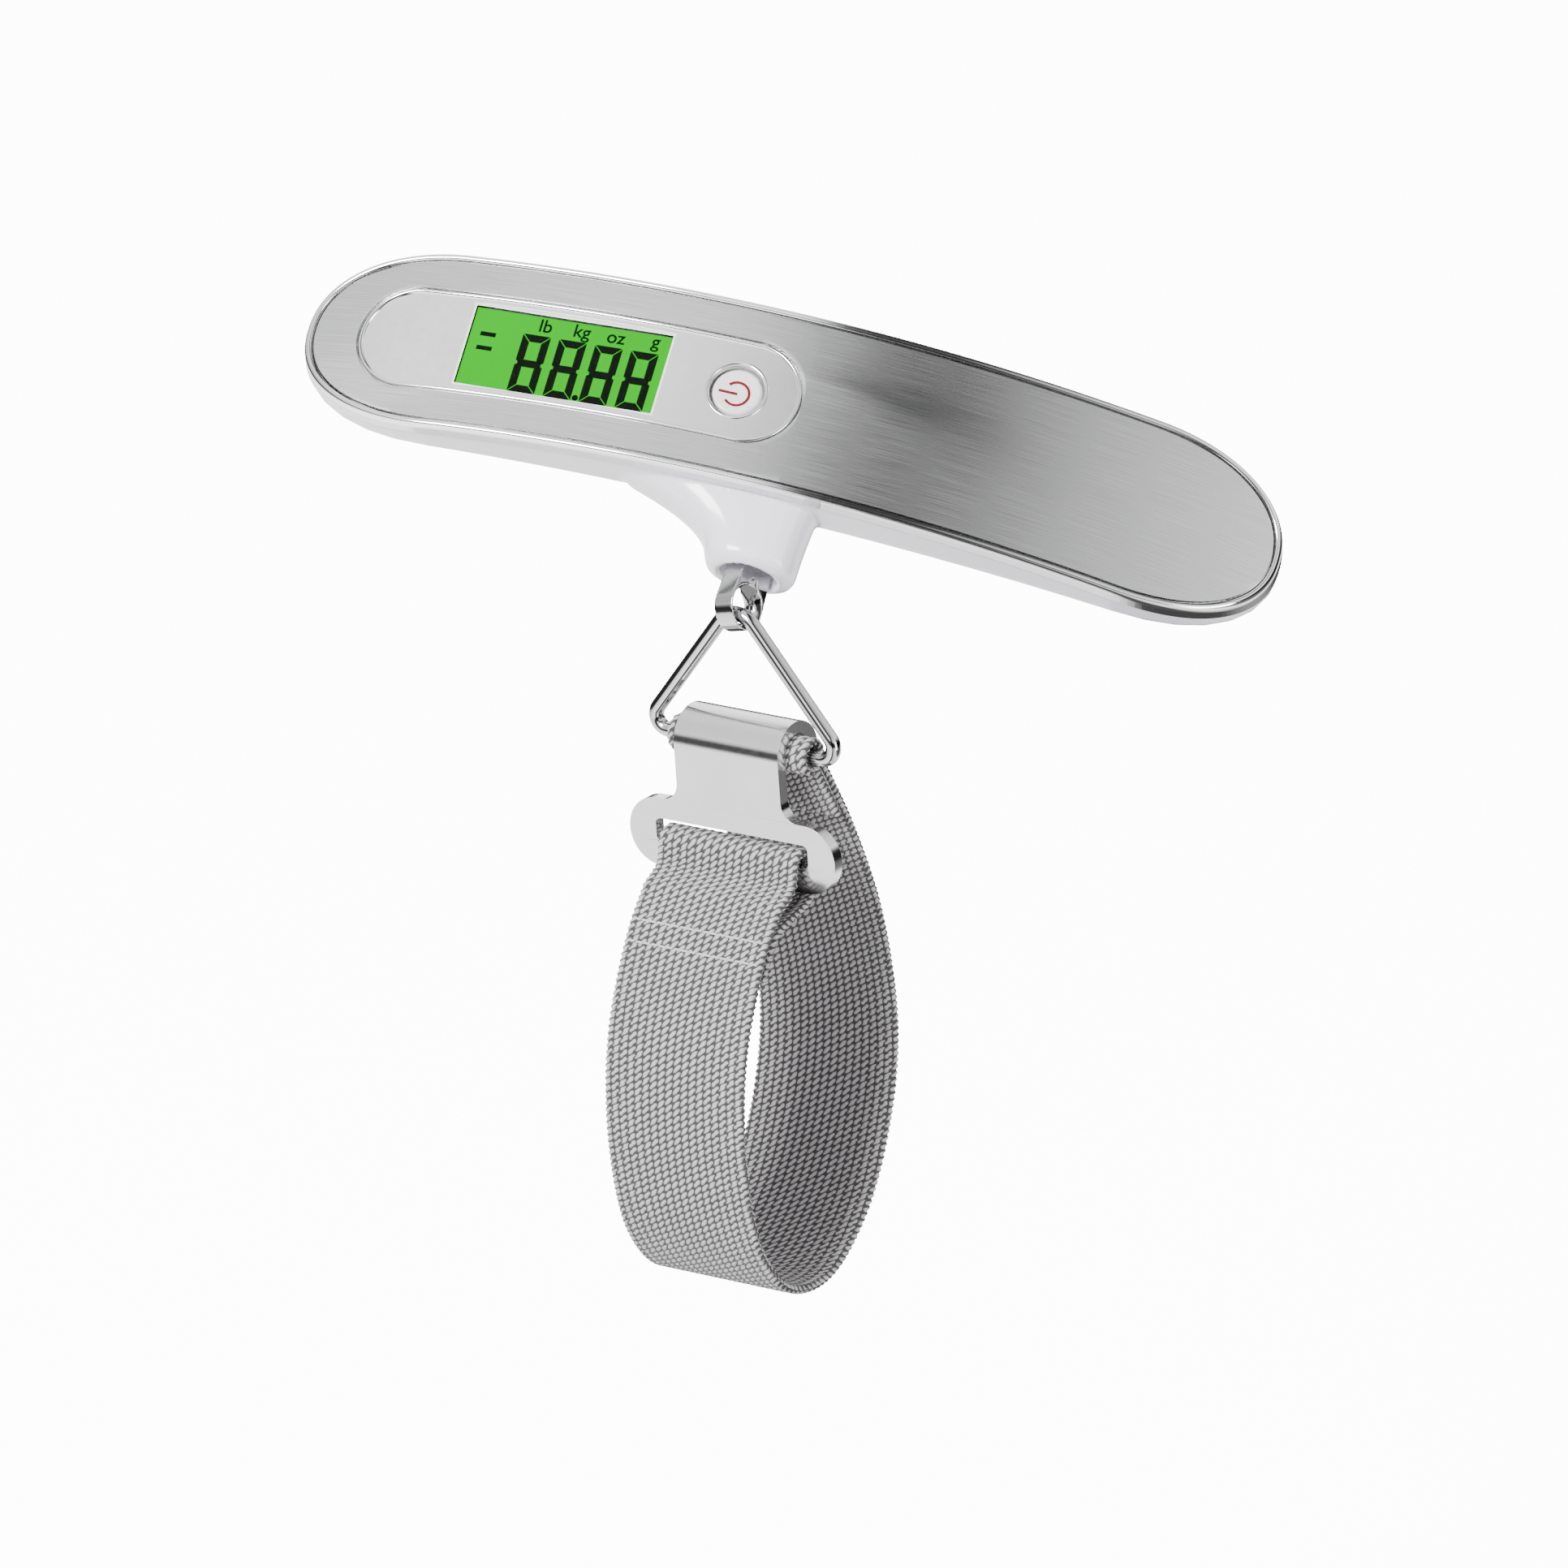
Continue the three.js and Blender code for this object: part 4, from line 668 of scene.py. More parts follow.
def rim_ring():
    """The bright rim: a rounded section carried round the bar's outline."""
    half = RIM_WIDTH / 2
    crown = RIM_SHOULDER + RIM_PROUD
    section = [(0.0, RIM_DEPTH), (0.0, RIM_SHOULDER)]
    for a in np.linspace(0.2, 2.94, 9):
        section.append((half - half * math.cos(a), RIM_SHOULDER - crown * math.sin(a)))
    section += [(RIM_WIDTH, RIM_SHOULDER), (RIM_WIDTH, RIM_DEPTH)]
    power = 2 / OUTLINE_POWER
    rings = []
    for side in (1, -1):
        for angle in np.linspace(-math.pi / 2, math.pi / 2, 70)[:-1]:
            ring = []
            for margin, depth in section:
                end = BAR_END - margin
                straight = BAR_LENGTH / 2 - margin - end
                x = side * (straight + end * abs(math.cos(angle)) ** power)
                z = math.copysign(abs(math.sin(angle)) ** power, math.sin(angle))
                ring.append((x, face_y(x, depth), side * z * (BAR_WIDTH / 2 - margin)))
            rings.append(ring)
    return densified(rings)


def densified(rings):
    """Adds rings along the bar's two long straight sides, which would else be single spans."""
    out = []
    for i, ring in enumerate(rings):
        after = rings[(i + 1) % len(rings)]
        out.append(ring)
        gap = abs(after[0][0] - ring[0][0])
        extra = int(gap // 3)
        for k in range(1, extra + 1):
            t = k / (extra + 1)
            blended = []
            for a, b in zip(ring, after):
                depth_a = FACE_RADIUS - math.hypot(a[0], FACE_RADIUS - a[1])
                x = a[0] + (b[0] - a[0]) * t
                blended.append((x, face_y(x, depth_a), a[2] + (b[2] - a[2]) * t))
            out.append(blended)
    return sweep(out, closed_path=True)


def front_frame():
    verts, faces = rim_ring()
    rim = make("bright_rim", verts, faces, BAR, CHROME, "bar")
    slot_length = BEZEL_LENGTH - 2 * FRAME_LAP
    slot_height = BEZEL_HEIGHT - 2 * FRAME_LAP
    thickness = WEB_BOTTOM - WEB_TOP
    web = sheet_on_face(
        "rim_web", FRAME_INSET, slot_length, slot_height, WEB_TOP, thickness, CHROME
    )
    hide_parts("front_frame")


def bezel_cutters():
    """What the display window and the button hole take out of the bezel."""
    half_w, half_h = WINDOW_WIDTH / 2, WINDOW_HEIGHT / 2
    corners = [
        (x, y, z) for x in (-half_w, half_w) for y in (CUT_FROM, CUT_TO) for z in (-half_h, half_h)
    ]
    sides = [(0, 1, 3, 2), (4, 6, 7, 5), (0, 4, 5, 1), (2, 3, 7, 6), (0, 2, 6, 4), (1, 5, 7, 3)]
    window = make("cut", corners, sides, face_frame(WINDOW_X), BEZEL, None, smooth=False)
    drill = [(0, CUT_FROM), (BUTTON_HOLE, CUT_FROM), (BUTTON_HOLE, CUT_TO), (0, CUT_TO)]
    verts, faces = turned(drill)
    return window, make("cut", verts, faces, face_frame(BUTTON_X), BEZEL, None)


def bezel_sheet(name, inset, depth, thickness, steps):
    """A round-ended sheet on the arch, with the window and the button hole cut through it."""
    length = BEZEL_LENGTH - 2 * inset
    height = BEZEL_HEIGHT - 2 * inset
    xs = BEZEL_X + length / 2 * -np.cos(np.linspace(0.02, math.pi - 0.02, steps))
    verts, faces, uvs = arched_sheet(
        xs,
        lambda x: stadium_half(x, BEZEL_X, length, height),
        lambda x: 0,
        depth,
    )
    sheet = make(name, verts, faces, BAR, BEZEL, "bar", uvs)
    face_outward(sheet)
    thickened(sheet, thickness)
    cut_away(sheet, *bezel_cutters())
    return sheet


def bezel_trim():
    """The bright line round the bezel."""
    reach = (BEZEL_LENGTH - BEZEL_HEIGHT) / 2
    rings = []
    for angle in np.linspace(0, 2 * math.pi, 241)[:-1]:
        ring = []
        for margin, depth in TRIM_SECTION:
            radius = BEZEL_HEIGHT / 2 - margin
            x = BEZEL_X + radius * math.cos(angle) + math.copysign(reach, math.cos(angle))
            ring.append(arched_point(x, depth, radius * math.sin(angle)))
        rings.append(ring)
    verts, faces = densified(rings)
    trim = make("bezel_trim", verts, faces, BAR, CHROME, "bar")


def button_surround():
    """The bright ring round the button hole."""
    section = [
        (-0.02, 1.0),
        (-0.02, BEZEL_RECESS + 0.1),
        (0.2, BEZEL_RECESS - 0.06),
        (0.45, BEZEL_RECESS - 0.1),
        (0.62, BEZEL_RECESS + 0.06),
        (0.62, 1.0),
        (-0.02, 1.0),
    ]
    verts, faces = turned([(BUTTON_HOLE + out, y) for out, y in section], 72)
    ring = make("button_surround", verts, faces, face_frame(BUTTON_X), CHROME, "bar")


def window_bezel():
    panel = bezel_sheet("display_bezel", 0, BEZEL_RECESS, PANEL_SHEET, 90)
    bevelled(panel, 0.14, 3)
    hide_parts("window_bezel")
    plug = bezel_sheet("bezel_body", PLUG_INSET, BEZEL_RECESS + PLUG_DEPTH, PLUG_SHEET, 60)
    bezel_trim()
    button_surround()


# ---- display


def flat_shape(name, outlines, depth, thickness, place, material, body):
    """Flat closed outlines in x and z, given a small thickness towards the face."""
    verts, faces = [], []
    for outline in outlines:
        start = len(verts)
        count = len(outline)
        for y in (depth, depth - thickness):
            verts += [(x, y, z) for x, z in outline]
        faces.append(tuple(range(start, start + count)))
        faces.append(tuple(range(start + 2 * count - 1, start + count - 1, -1)))
        for i in range(count):
            k = (i + 1) % count
            faces.append((start + i, start + count + i, start + count + k, start + k))
    return make(name, verts, faces, place, material, body, smooth=False)


def in_window(u, v):
    """A point given as fractions across and down the window, in the display's frame."""
    return ((u - 0.5) * WINDOW_WIDTH, (0.5 - v) * WINDOW_HEIGHT)


def level_segment(left, right, level, bar, kind):
    """A lying segment: at the foot (0), in the middle (1) or at the top (2) of a digit."""
    if kind == 1:
        half = bar / 2
        return [
            (left + half * 0.3, level),
            (left + half, level + half),
            (right - half, level + half),
            (right - half * 0.3, level),
            (right - half, level - half),
            (left + half, level - half),
        ]
    inward = bar if kind == 0 else -bar
    return [
        (left, level),
        (right, level),
        (right - bar, level + inward),
        (left + bar, level + inward),
    ]


def digit_segments(x, z, width, height, bar):
    """The seven mitred segments of a figure eight whose lower left corner is (x, z)."""
    gap = DIGIT_GAP
    middle = z + height / 2
    outlines = []
    for kind, level in enumerate((z, middle, z + height)):
        outlines.append(level_segment(x + gap, x + width - gap, level, bar, kind))
    for edge, inward in ((x, bar), (x + width, -bar)):
        for near, far, towards in (
            (middle - gap, z + gap, -1),
            (middle + gap, z + height - gap, 1),
        ):
            outlines.append(
                [
                    (edge, far),
                    (edge, near + towards * 0.25 * bar),
                    (edge + inward * 0.45, near),
                    (edge + inward, near + towards * 0.5 * bar),
                    (edge + inward, far - towards * bar),
                ]
            )
    return outlines


def unit_sign(text, u, v, place, depth):
    """A printed unit sign, as a thin flat mesh."""
    name = "unit_" + text
    curve = bpy.data.curves.new(name, "FONT")
    curve.body = text
    curve.size = UNIT_SIZE
    curve.align_x = "CENTER"
    curve.align_y = "CENTER"
    curve.offset = 0.03
    curve.extrude = PRINT_THICKNESS / 2
    mesh = mesh_of(curve)
    x, z = in_window(u, v)
    verts = [(p.co.x + x, depth - p.co.z, p.co.y + z) for p in mesh.vertices]
    faces = [tuple(p.vertices) for p in mesh.polygons]
    sign = make(name, verts, faces, place, PRINT_BLACK, "bar", smooth=False)


def printed_outlines():
    """The digits, the two bars at their left and the decimal point."""
    outlines = []
    width, height = DIGIT_WIDTH * WINDOW_WIDTH, DIGIT_HEIGHT * WINDOW_HEIGHT
    for i in range(DIGITS):
        x, z = in_window(DIGIT_LEFT + DIGIT_PITCH * i, DIGIT_FOOT)
        outlines += digit_segments(x, z, width, height, DIGIT_BAR)
    half, length = SIDE_BAR_HALF, SIDE_BAR_LENGTH
    for v in SIDE_BAR_LEVELS:
        x, z = in_window(SIDE_BAR_LEFT, v)
        low, high = z - half, z + half
        outlines.append([(x, low), (x + length, low), (x + length, high), (x, high)])
    x, z = in_window(*POINT_PLACE)
    outlines.append(arc(x, z, POINT_RADIUS, 0, 345, 23))
    return outlines


def border_sides(half_w, half_h, edge):
    """The four mitred strips of a rectangular border."""
    outer = rectangle(half_w, half_h)
    inner = rectangle(half_w - edge, half_h - edge)
    return [[outer[i - 1], outer[i], inner[i], inner[i - 1]] for i in (1, 2, 3, 0)]


def display():
    place = face_frame(WINDOW_X)
    surface = DISPLAY_DEPTH - PRINT_LIFT
    outlines = printed_outlines()
    digits = flat_shape(
        "display_digits", outlines, surface, PRINT_THICKNESS, place, PRINT_BLACK, "bar"
    )
    corners = rectangle(WINDOW_WIDTH / 2 - FIT_GAP, WINDOW_HEIGHT / 2 - FIT_GAP)
    depth = DISPLAY_DEPTH - GLOW_THICKNESS / 2
    glow = flat_shape("display_glow", [corners], depth, GLOW_THICKNESS, place, LIT, "bar")
    for text, (u, v) in UNIT_SIGNS.items():
        unit_sign(text, u, v, place, surface - PRINT_THICKNESS / 2)
    half_w, half_h = WINDOW_WIDTH / 2 - BORDER_GAP, WINDOW_HEIGHT / 2 - BORDER_GAP
    sides = border_sides(half_w, half_h, BORDER_WIDTH)
    depth = LENS_DEPTH - PRINT_THICKNESS
    border = flat_shape(
        "window_border", sides, depth, PRINT_THICKNESS, place, PRINT_WHITE, "bar"
    )


# ---- power button


def power_button():
    """A cap with a slightly crowned top, on a flange under the frame, and its printed sign."""
    place = face_frame(BUTTON_X)
    top = BEZEL_RECESS + BUTTON_RECESS
    shelf = WEB_BOTTOM + FIT_GAP
    r = BUTTON_RADIUS
    corner = CAP_ROUND
    profile = [(0, top + 0.16), (r * 0.35, top + 0.14), (r * 0.7, top + 0.05), (r - 0.7, top)]
    for a in np.linspace(0.2, 1.57, 6):
        profile.append((r - corner + corner * math.sin(a), top + corner - corner * math.cos(a)))
    profile += [(r, shelf), (r + CAP_FLANGE, shelf), (r + CAP_FLANGE, shelf + CAP_LAYER)]
    profile += [(CAP_STEM, shelf + CAP_LAYER), (CAP_STEM, shelf + 2 * CAP_LAYER)]
    profile += [(0, shelf + 2 * CAP_LAYER)]
    verts, faces = turned(profile, 72)
    cap = make("button_cap", verts, faces, place, CAP, "power_button")
    bevelled(cap, 0.06, 2, 50)
    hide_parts("power_button")
    half, level = SIGN_HALF_LINE, SIGN_LEVEL
    ring = arc(0, level, SIGN_RADIUS + half, -SIGN_SWEEP, SIGN_SWEEP, 40)
    ring += arc(0, level, SIGN_RADIUS - half, SIGN_SWEEP, -SIGN_SWEEP, 40)
    left, right = -SIGN_RADIUS - 0.9, 0.1
    low, high = level - half, level + half
    line = [(left, low), (right, low), (right, high), (left, high)]
    sign = flat_shape(
        "power_sign", [ring, line], top + 0.13, 0.16, place, PRINT_RED, "power_button"
    )


# ---- wire triangle and hook


def rounded_route(corners, bends, steps):
    """A closed route with round corners."""
    route = []
    for i, bend in enumerate(bends):
        corner = np.array(corners[i])
        before = np.array(corners[i - 1]) - corner
        after = np.array(corners[(i + 1) % len(corners)]) - corner
        before /= np.linalg.norm(before)
        after /= np.linalg.norm(after)
        half = math.acos(before @ after) / 2
        middle = (before + after) / np.linalg.norm(before + after)
        centre = corner + middle * bend / math.sin(half)
        start = corner + before * bend / math.tan(half) - centre
        end = corner + after * bend / math.tan(half) - centre
        first = math.atan2(start[1], start[0])
        turn = math.atan2(end[1], end[0]) - first
        turn = (turn + math.pi) % (2 * math.pi) - math.pi
        for k in range(steps + 1):
            angle = first + turn * k / steps
            route.append(tuple(centre + bend * np.array((math.cos(angle), math.sin(angle)))))
    return route


def triangle_link():
    """The round top bend has to end at the eye, so its sharp corner is found by repetition."""
    peak = 0.0
    for _ in range(30):
        half = math.atan(TRIANGLE_HALF_BASE / (TRIANGLE_HEIGHT + peak))
        peak = APEX_BEND / math.sin(half) - APEX_BEND
    base = TRIANGLE_HALF_BASE
    corners = [(0.0, peak), (-base, -TRIANGLE_HEIGHT), (base, -TRIANGLE_HEIGHT)]
    route = rounded_route(corners, [APEX_BEND, CORNER_BEND, CORNER_BEND], 16)
    rings = []
    for i, (x, z) in enumerate(route):
        ahead = np.array(route[(i + 1) % len(route)]) - np.array(route[i - 1])
        ahead /= np.linalg.norm(ahead)
        ring = []
        for angle in np.linspace(0, 2 * math.pi, 24, endpoint=False):
            across = WIRE_RADIUS * math.cos(angle)
            out = WIRE_RADIUS * math.sin(angle)
            ring.append((x - ahead[1] * across, out, z + ahead[0] * across))
        rings.append(ring)
    verts, faces = sweep(rings, closed_path=True)
    wire = make("wire_triangle", verts, faces, HANGING, LINK, "triangle")
    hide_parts("triangle_link")


def hook_outline(length):
    """The blank with its wings, which ends in a lip the given length above its bend."""
    half = HOOK_WIDTH / 2
    wing = WING_SPAN / 2 - WING_RADIUS
    fillet = NECK_FILLET
    shoulder = -WING_DROP + WING_RADIUS
    right = arc(wing, -WING_DROP, WING_RADIUS, -90, 90, 28)
    right += arc(half + fillet, shoulder + fillet, fillet, 270, 180, 10)
    right += arc(half - LIP_ROUND, length - LIP_ROUND, LIP_ROUND, 0, 90, 5)
    return right + [(-x, z) for x, z in reversed(right)]


def hook_slot():
    """The slot that the webbing goes through."""
    r = SLOT_ROUND
    reach = WEB_WIDTH / 2 + SLOT_CLEARANCE - r
    low, high = LOWER_BAR_TOP + r, LOWER_BAR_TOP + SLOT_HEIGHT - r
    slot = arc(reach, low, r, -90, 0, 5) + arc(reach, high, r, 0, 90, 5)
    return slot + arc(-reach, high, r, 90, 180, 5) + arc(-reach, low, r, 180, 270, 5)


def filled(outlines):
    """A flat mesh that fills the first outline, with the next one left open."""
    curve = bpy.data.curves.new("hook_blank", "CURVE")
    curve.dimensions = "2D"
    curve.fill_mode = "FRONT"
    for points in outlines:
        spline = curve.splines.new("POLY")
        spline.points.add(len(points) - 1)
        for point, (x, z) in zip(spline.points, points):
            point.co = (x, z, 0, 1)
        spline.use_cyclic_u = True
    return mesh_of(curve)


def curl(x, s):
    """Where a point of the flat blank goes when its top is bent round the wire."""
    if s <= 0:
        return (x, -HOOK_MIDDLE, s)
    angle = math.pi - s / HOOK_MIDDLE
    return (x, HOOK_MIDDLE * math.cos(angle), HOOK_MIDDLE * math.sin(angle))


def hook_plate():
    """The blank is drawn flat, cut across many times where it curls, and then bent."""
    length = math.radians(HOOK_LIP_ANGLE) * HOOK_MIDDLE
    flat = filled((hook_outline(length), hook_slot()))
    made = bmesh.new()
    made.from_mesh(flat)
    bmesh.ops.remove_doubles(made, verts=made.verts, dist=1e-4)
    for level in np.linspace(0, length, CURL_CUTS)[:-1]:
        everything = made.verts[:] + made.edges[:] + made.faces[:]
        bmesh.ops.bisect_plane(made, geom=everything, plane_co=(0, level, 0), plane_no=(0, 1, 0))
    for vert in made.verts:
        vert.co = curl(vert.co.x, vert.co.y)
    made.to_mesh(flat)
    made.free()
    verts = [tuple(v.co) for v in flat.vertices]
    faces = [tuple(p.vertices) for p in flat.polygons]
    plate = make("hook", verts, faces, STRAP, PLATE, "hook")
    modifier(plate, "SOLIDIFY", thickness=HOOK_SHEET * MM, offset=0.0, use_even_offset=True)
    bevelled(applied(plate), 0.32, 3, 55)
    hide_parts("hook_plate")


# ---- webbing


def smooth_path(points, count):
    """A centripetal curve through the points, as evenly spaced points."""
    given = [np.array(p, dtype=float) for p in points]
    ends = [2 * given[0] - given[1]] + given + [2 * given[-1] - given[-2]]
    dense = []
    for i in range(1, len(ends) - 2):
        p0, p1, p2, p3 = ends[i - 1 : i + 3]
        t1 = np.linalg.norm(p1 - p0) ** 0.5
        t2 = t1 + np.linalg.norm(p2 - p1) ** 0.5
        t3 = t2 + np.linalg.norm(p3 - p2) ** 0.5
        for t in np.linspace(t1, t2, 24, endpoint=False):
            a1 = (t1 - t) / t1 * p0 + t / t1 * p1
            a2 = (t2 - t) / (t2 - t1) * p1 + (t - t1) / (t2 - t1) * p2
            a3 = (t3 - t) / (t3 - t2) * p2 + (t - t2) / (t3 - t2) * p3
            b1 = (t2 - t) / t2 * a1 + t / t2 * a2
            b2 = (t3 - t) / (t3 - t1) * a2 + (t - t1) / (t3 - t1) * a3
            dense.append((t2 - t) / (t2 - t1) * b1 + (t - t1) / (t2 - t1) * b2)
    dense.append(given[-1])
    return evenly(dense, count)


def evenly(points, count):
    """The same path as a number of evenly spaced points."""
    points = np.array(points)
    steps = np.concatenate(([0], np.cumsum(np.linalg.norm(np.diff(points, axis=0), axis=1))))
    wanted = np.linspace(0, steps[-1], count)
    return np.stack([np.interp(wanted, steps, column) for column in points.T], axis=1)


def path_length(points):
    return float(np.linalg.norm(np.diff(points, axis=0), axis=1).sum())


def shifted(points, distance):
    """Points moved sideways, to the left of the way they run."""
    ahead = np.gradient(points, axis=0)
    ahead /= np.linalg.norm(ahead, axis=1)[:, None]
    return points + distance * np.stack([-ahead[:, 1], ahead[:, 0]], axis=1)


def loop_route():
    """The middle of the webbing, as y and z, from the roll down the back and up the front."""
    turn = math.radians(ROLL_LEAVES)
    return smooth_path(
        [
            (ROLL_RADIUS * math.cos(turn), ROLL_RADIUS * math.sin(turn)),
            (ROLL_RADIUS * 1.65, -LOOP_DROP * 0.052),
            (LOOP_BACK * 0.53, -LOOP_DROP * 0.18),
            (LOOP_BACK * 0.84, -LOOP_DROP * 0.36),
            (LOOP_BACK - WEB_THICKNESS / 2, -LOOP_DROP * 0.58),
            (LOOP_BACK * 0.78, -LOOP_DROP * 0.74),
            (LOOP_BACK * 0.32, -LOOP_DROP * 0.9),
            (-LOOP_FRONT * 0.2, -LOOP_DROP * 0.985),
            (-LOOP_FRONT * 0.58, -LOOP_DROP * 0.972),
            (-LOOP_FRONT * 0.85, -LOOP_DROP * 0.88),
            (-LOOP_FRONT + WEB_THICKNESS / 2, -LOOP_DROP * 0.7),
            (-LOOP_FRONT * 0.9, -LOOP_DROP * 0.5),
            (-LOOP_FRONT * 0.64, -LOOP_DROP * 0.33),
            (-LOOP_FRONT * 0.44, -LOOP_DROP * 0.255),
        ],
        ROUTE_POINTS,
    )


def band_section():
    """Across the webbing: place from -1 to 1, distance from its middle, and u in millimetres."""
    half = WEB_WIDTH / 2
    xs = np.linspace(-1, 1, BAND_COLUMNS)
    section = []
    for side in (1, -1):
        for x in xs[::side]:
            edge = max(0.0, (abs(x) * half - (half - EDGE_ROUND)) / EDGE_ROUND)
            thick = (WEB_THICKNESS / 2) * math.sqrt(max(0.0, 1 - edge * edge))
            rib = math.cos(2 * math.pi * (x * half / YARN_COLUMN - 0.5)) * (1 - edge)
            off = side * max(0.0, thick - YARN_RELIEF + YARN_RELIEF * rib)
            section.append((x, off, x * half * side + BACK_UV_SHIFT * (side < 0)))
    return section


def band(name, path, body, start_at=0.0):
    """Webbing along a path: rounded edges, scalloped by the yarns that turn back there."""
    section = band_section()
    along = np.linspace(0, path_length(path), len(path)) + start_at
    rings, uvs = [], []
    for i, point in enumerate(path):
        before = path[max(0, i - 1)]
        after = path[min(len(path) - 1, i + 1)]
        ahead = (after - before) / np.linalg.norm(after - before)
        normal = np.array([-ahead[1], ahead[0]])
        scallop = SCALLOP * math.sin(2 * math.pi * along[i] / SCALLOP_PITCH)
        half = WEB_WIDTH / 2 - SCALLOP + scallop
        rings.append([(x * half, *(point + normal * off)) for x, off, _ in section])
        uvs += [(u, along[i]) for _, _, u in section]
    verts, faces = sweep(rings)
    obj = make(name, verts, faces, STRAP, WEBBING, body, uvs)
    return obj


def roll_end(route, roll):
    """The end that comes round the wire and is sewn down inside the loop."""
    sewn = shifted(route[8:26], -SEWN_STEP)
    tail = smooth_path([*sewn[::-1][::6], roll[0], roll[1]], 30)
    band("webbing_roll_end", tail, "strap", 3.0)


def slot_crown():
    """The webbing's middle where it turns over the hook plate's lower bar."""
    radius = (WRAP_BACK - WRAP_FRONT) / 2
    return np.array(arc((WRAP_FRONT + WRAP_BACK) / 2, LOWER_BAR_TOP, radius, 180, 0, 20))


def front_band(route, split, crown, start_at):
    """The front of the loop, which bends between the strap and the hook plate."""
    rise = smooth_path([*route[-10::3], (WRAP_FRONT - 1, LOWER_BAR_TOP - 3), crown[0]], 40)
    front = np.concatenate([route[split:-10], rise[:-1], crown])
    upper = band("webbing_front", evenly(front, 420), None, start_at)
    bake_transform(upper)


def fold_band(route, seam, crown):
    """The end that comes down behind the hook plate and is sewn to the front."""
    backing = shifted(route[seam + 2 : -8], -SEWN_STEP)[::-1]
    below = [(WRAP_BACK + 0.1, HOOK_BOTTOM - 0.3), (WRAP_BACK - 1.6, HOOK_BOTTOM - 2.2)]
    behind = smooth_path([crown[-3], crown[-1], *below, *backing[::6]], 120)
    fold = band("webbing_fold", behind, "hook", 1.0)
    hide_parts("strap_fold")


def webbing():
    """The loop, in the pieces that ride on the strap, on the hook plate and between them."""
    route = loop_route()
    split = int(len(route) * FRONT_FROM)
    step = path_length(route) / (len(route) - 1)
    seam = len(route) - int(SEWN_LENGTH / step)
    roll = np.array(arc(0, 0, ROLL_RADIUS, 290, ROLL_LEAVES, 40))
    first = np.concatenate([roll[:-1], route[: split + 1]])
    loop = band("webbing_loop", evenly(first, 620), "strap")
    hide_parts("strap_webbing")
    roll_end(route, roll)
    crown = slot_crown()
    front_band(route, split, crown, path_length(first))
    fold_band(route, seam, crown)
    seam_rows(route, seam)


def stitch(centre, middle, ahead, normal):
    """One raised thread across the webbing, sunk at both ends."""
    rings = []
    for t in np.linspace(0, 1, 9):
        lifted = middle + normal * (STITCH_LIFT * math.sin(math.pi * t) - THREAD_SUNK)
        ring = []
        for a in np.linspace(0, 2 * math.pi, 8, endpoint=False):
            p = lifted + THREAD_RADIUS * (ahead * math.cos(a) + normal * math.sin(a))
            ring.append((centre + (t - 0.5) * STITCH_LENGTH, p[0], p[1]))
        rings.append(ring)
    return sweep(rings)


def seam_rows(route, seam):
    """Two rows of stitches across the sewn end."""
    outside = shifted(route, WEB_THICKNESS / 2 - 0.05)
    pitch = (WEB_WIDTH - 2) / STITCHES
    verts, faces = [], []
    for row in (seam + 12, seam + 20):
        ahead = outside[row + 1] - outside[row - 1]
        ahead /= np.linalg.norm(ahead)
        normal = np.array([-ahead[1], ahead[0]])
        for i in range(STITCHES):
            centre = (i - (STITCHES - 1) / 2) * pitch
            more, more_faces = stitch(centre, outside[row], ahead, normal)
            start = len(verts)
            verts += more
            faces += [tuple(index + start for index in face) for face in more_faces]
    stitches = make("seam_stitches", verts, faces, STRAP, THREAD, "hook")


# ---- stage, light and camera

VIEW_AZIMUTH = 12.9
VIEW_ELEVATION = 20.0
VIEW_ROLL = 4.0
VIEW_SPAN = 241.5
VIEW_DISTANCE = 2600.0
SENSOR_WIDTH = 36.0
APEX_RIGHT = 1.0
APEX_UP = 58.9

# How bright the studio is, by the part of a direction that lies along the bar, and by its height.
WORLD_STRENGTH = 2.4
FLAG_STOPS = [
    (-1, 0.3),
    (-0.72, 0.75),
    (-0.4, 1.0),
    (-0.14, 1.0),
    (-0.09, 0.03),
    (0.1, 0.03),
    (0.32, 0.45),
    (0.7, 0.8),
    (0.84, 0.06),
]
HEIGHT_STOPS = [
    (-1, 1.3),
    (-0.29, 1.3),
    (-0.16, 0.04),
    (0.12, 0.04),
    (0.26, 1.2),
    (0.6, 1.0),
    (0.8, 0.85),
    (1.0, 0.6),
]
FLOOR_GLOW = 12.0
FLOOR_LEVEL = -260
FLOOR_SIZE = 6000


def view_axes():
    """Right, up and back of the camera."""
    a, e = math.radians(VIEW_AZIMUTH), math.radians(VIEW_ELEVATION)
    r = math.radians(VIEW_ROLL)
    back = Vector((math.sin(a) * math.cos(e), -math.cos(a) * math.cos(e), math.sin(e)))
    level = Vector((math.cos(a), math.sin(a), 0))
    up = back.cross(level)
    right = level * math.cos(r) - up * math.sin(r)
    return right, up * math.cos(r) + level * math.sin(r), back


def camera():
    right, up, back = view_axes()
    apex = BAR @ Vector((0, 0, 0))
    aim = apex - right * APEX_RIGHT - up * APEX_UP
    data = bpy.data.cameras.new("camera")
    data.sensor_width = SENSOR_WIDTH
    data.lens = SENSOR_WIDTH * VIEW_DISTANCE / VIEW_SPAN
    data.clip_end = 50
    obj = bpy.data.objects.new("camera", data)
    turn = Matrix((right, up, back)).transposed().to_4x4()
    obj.matrix_world = Matrix.Translation((aim + back * VIEW_DISTANCE) * MM) @ turn
    bpy.context.scene.collection.objects.link(obj)
    bpy.context.scene.camera = obj


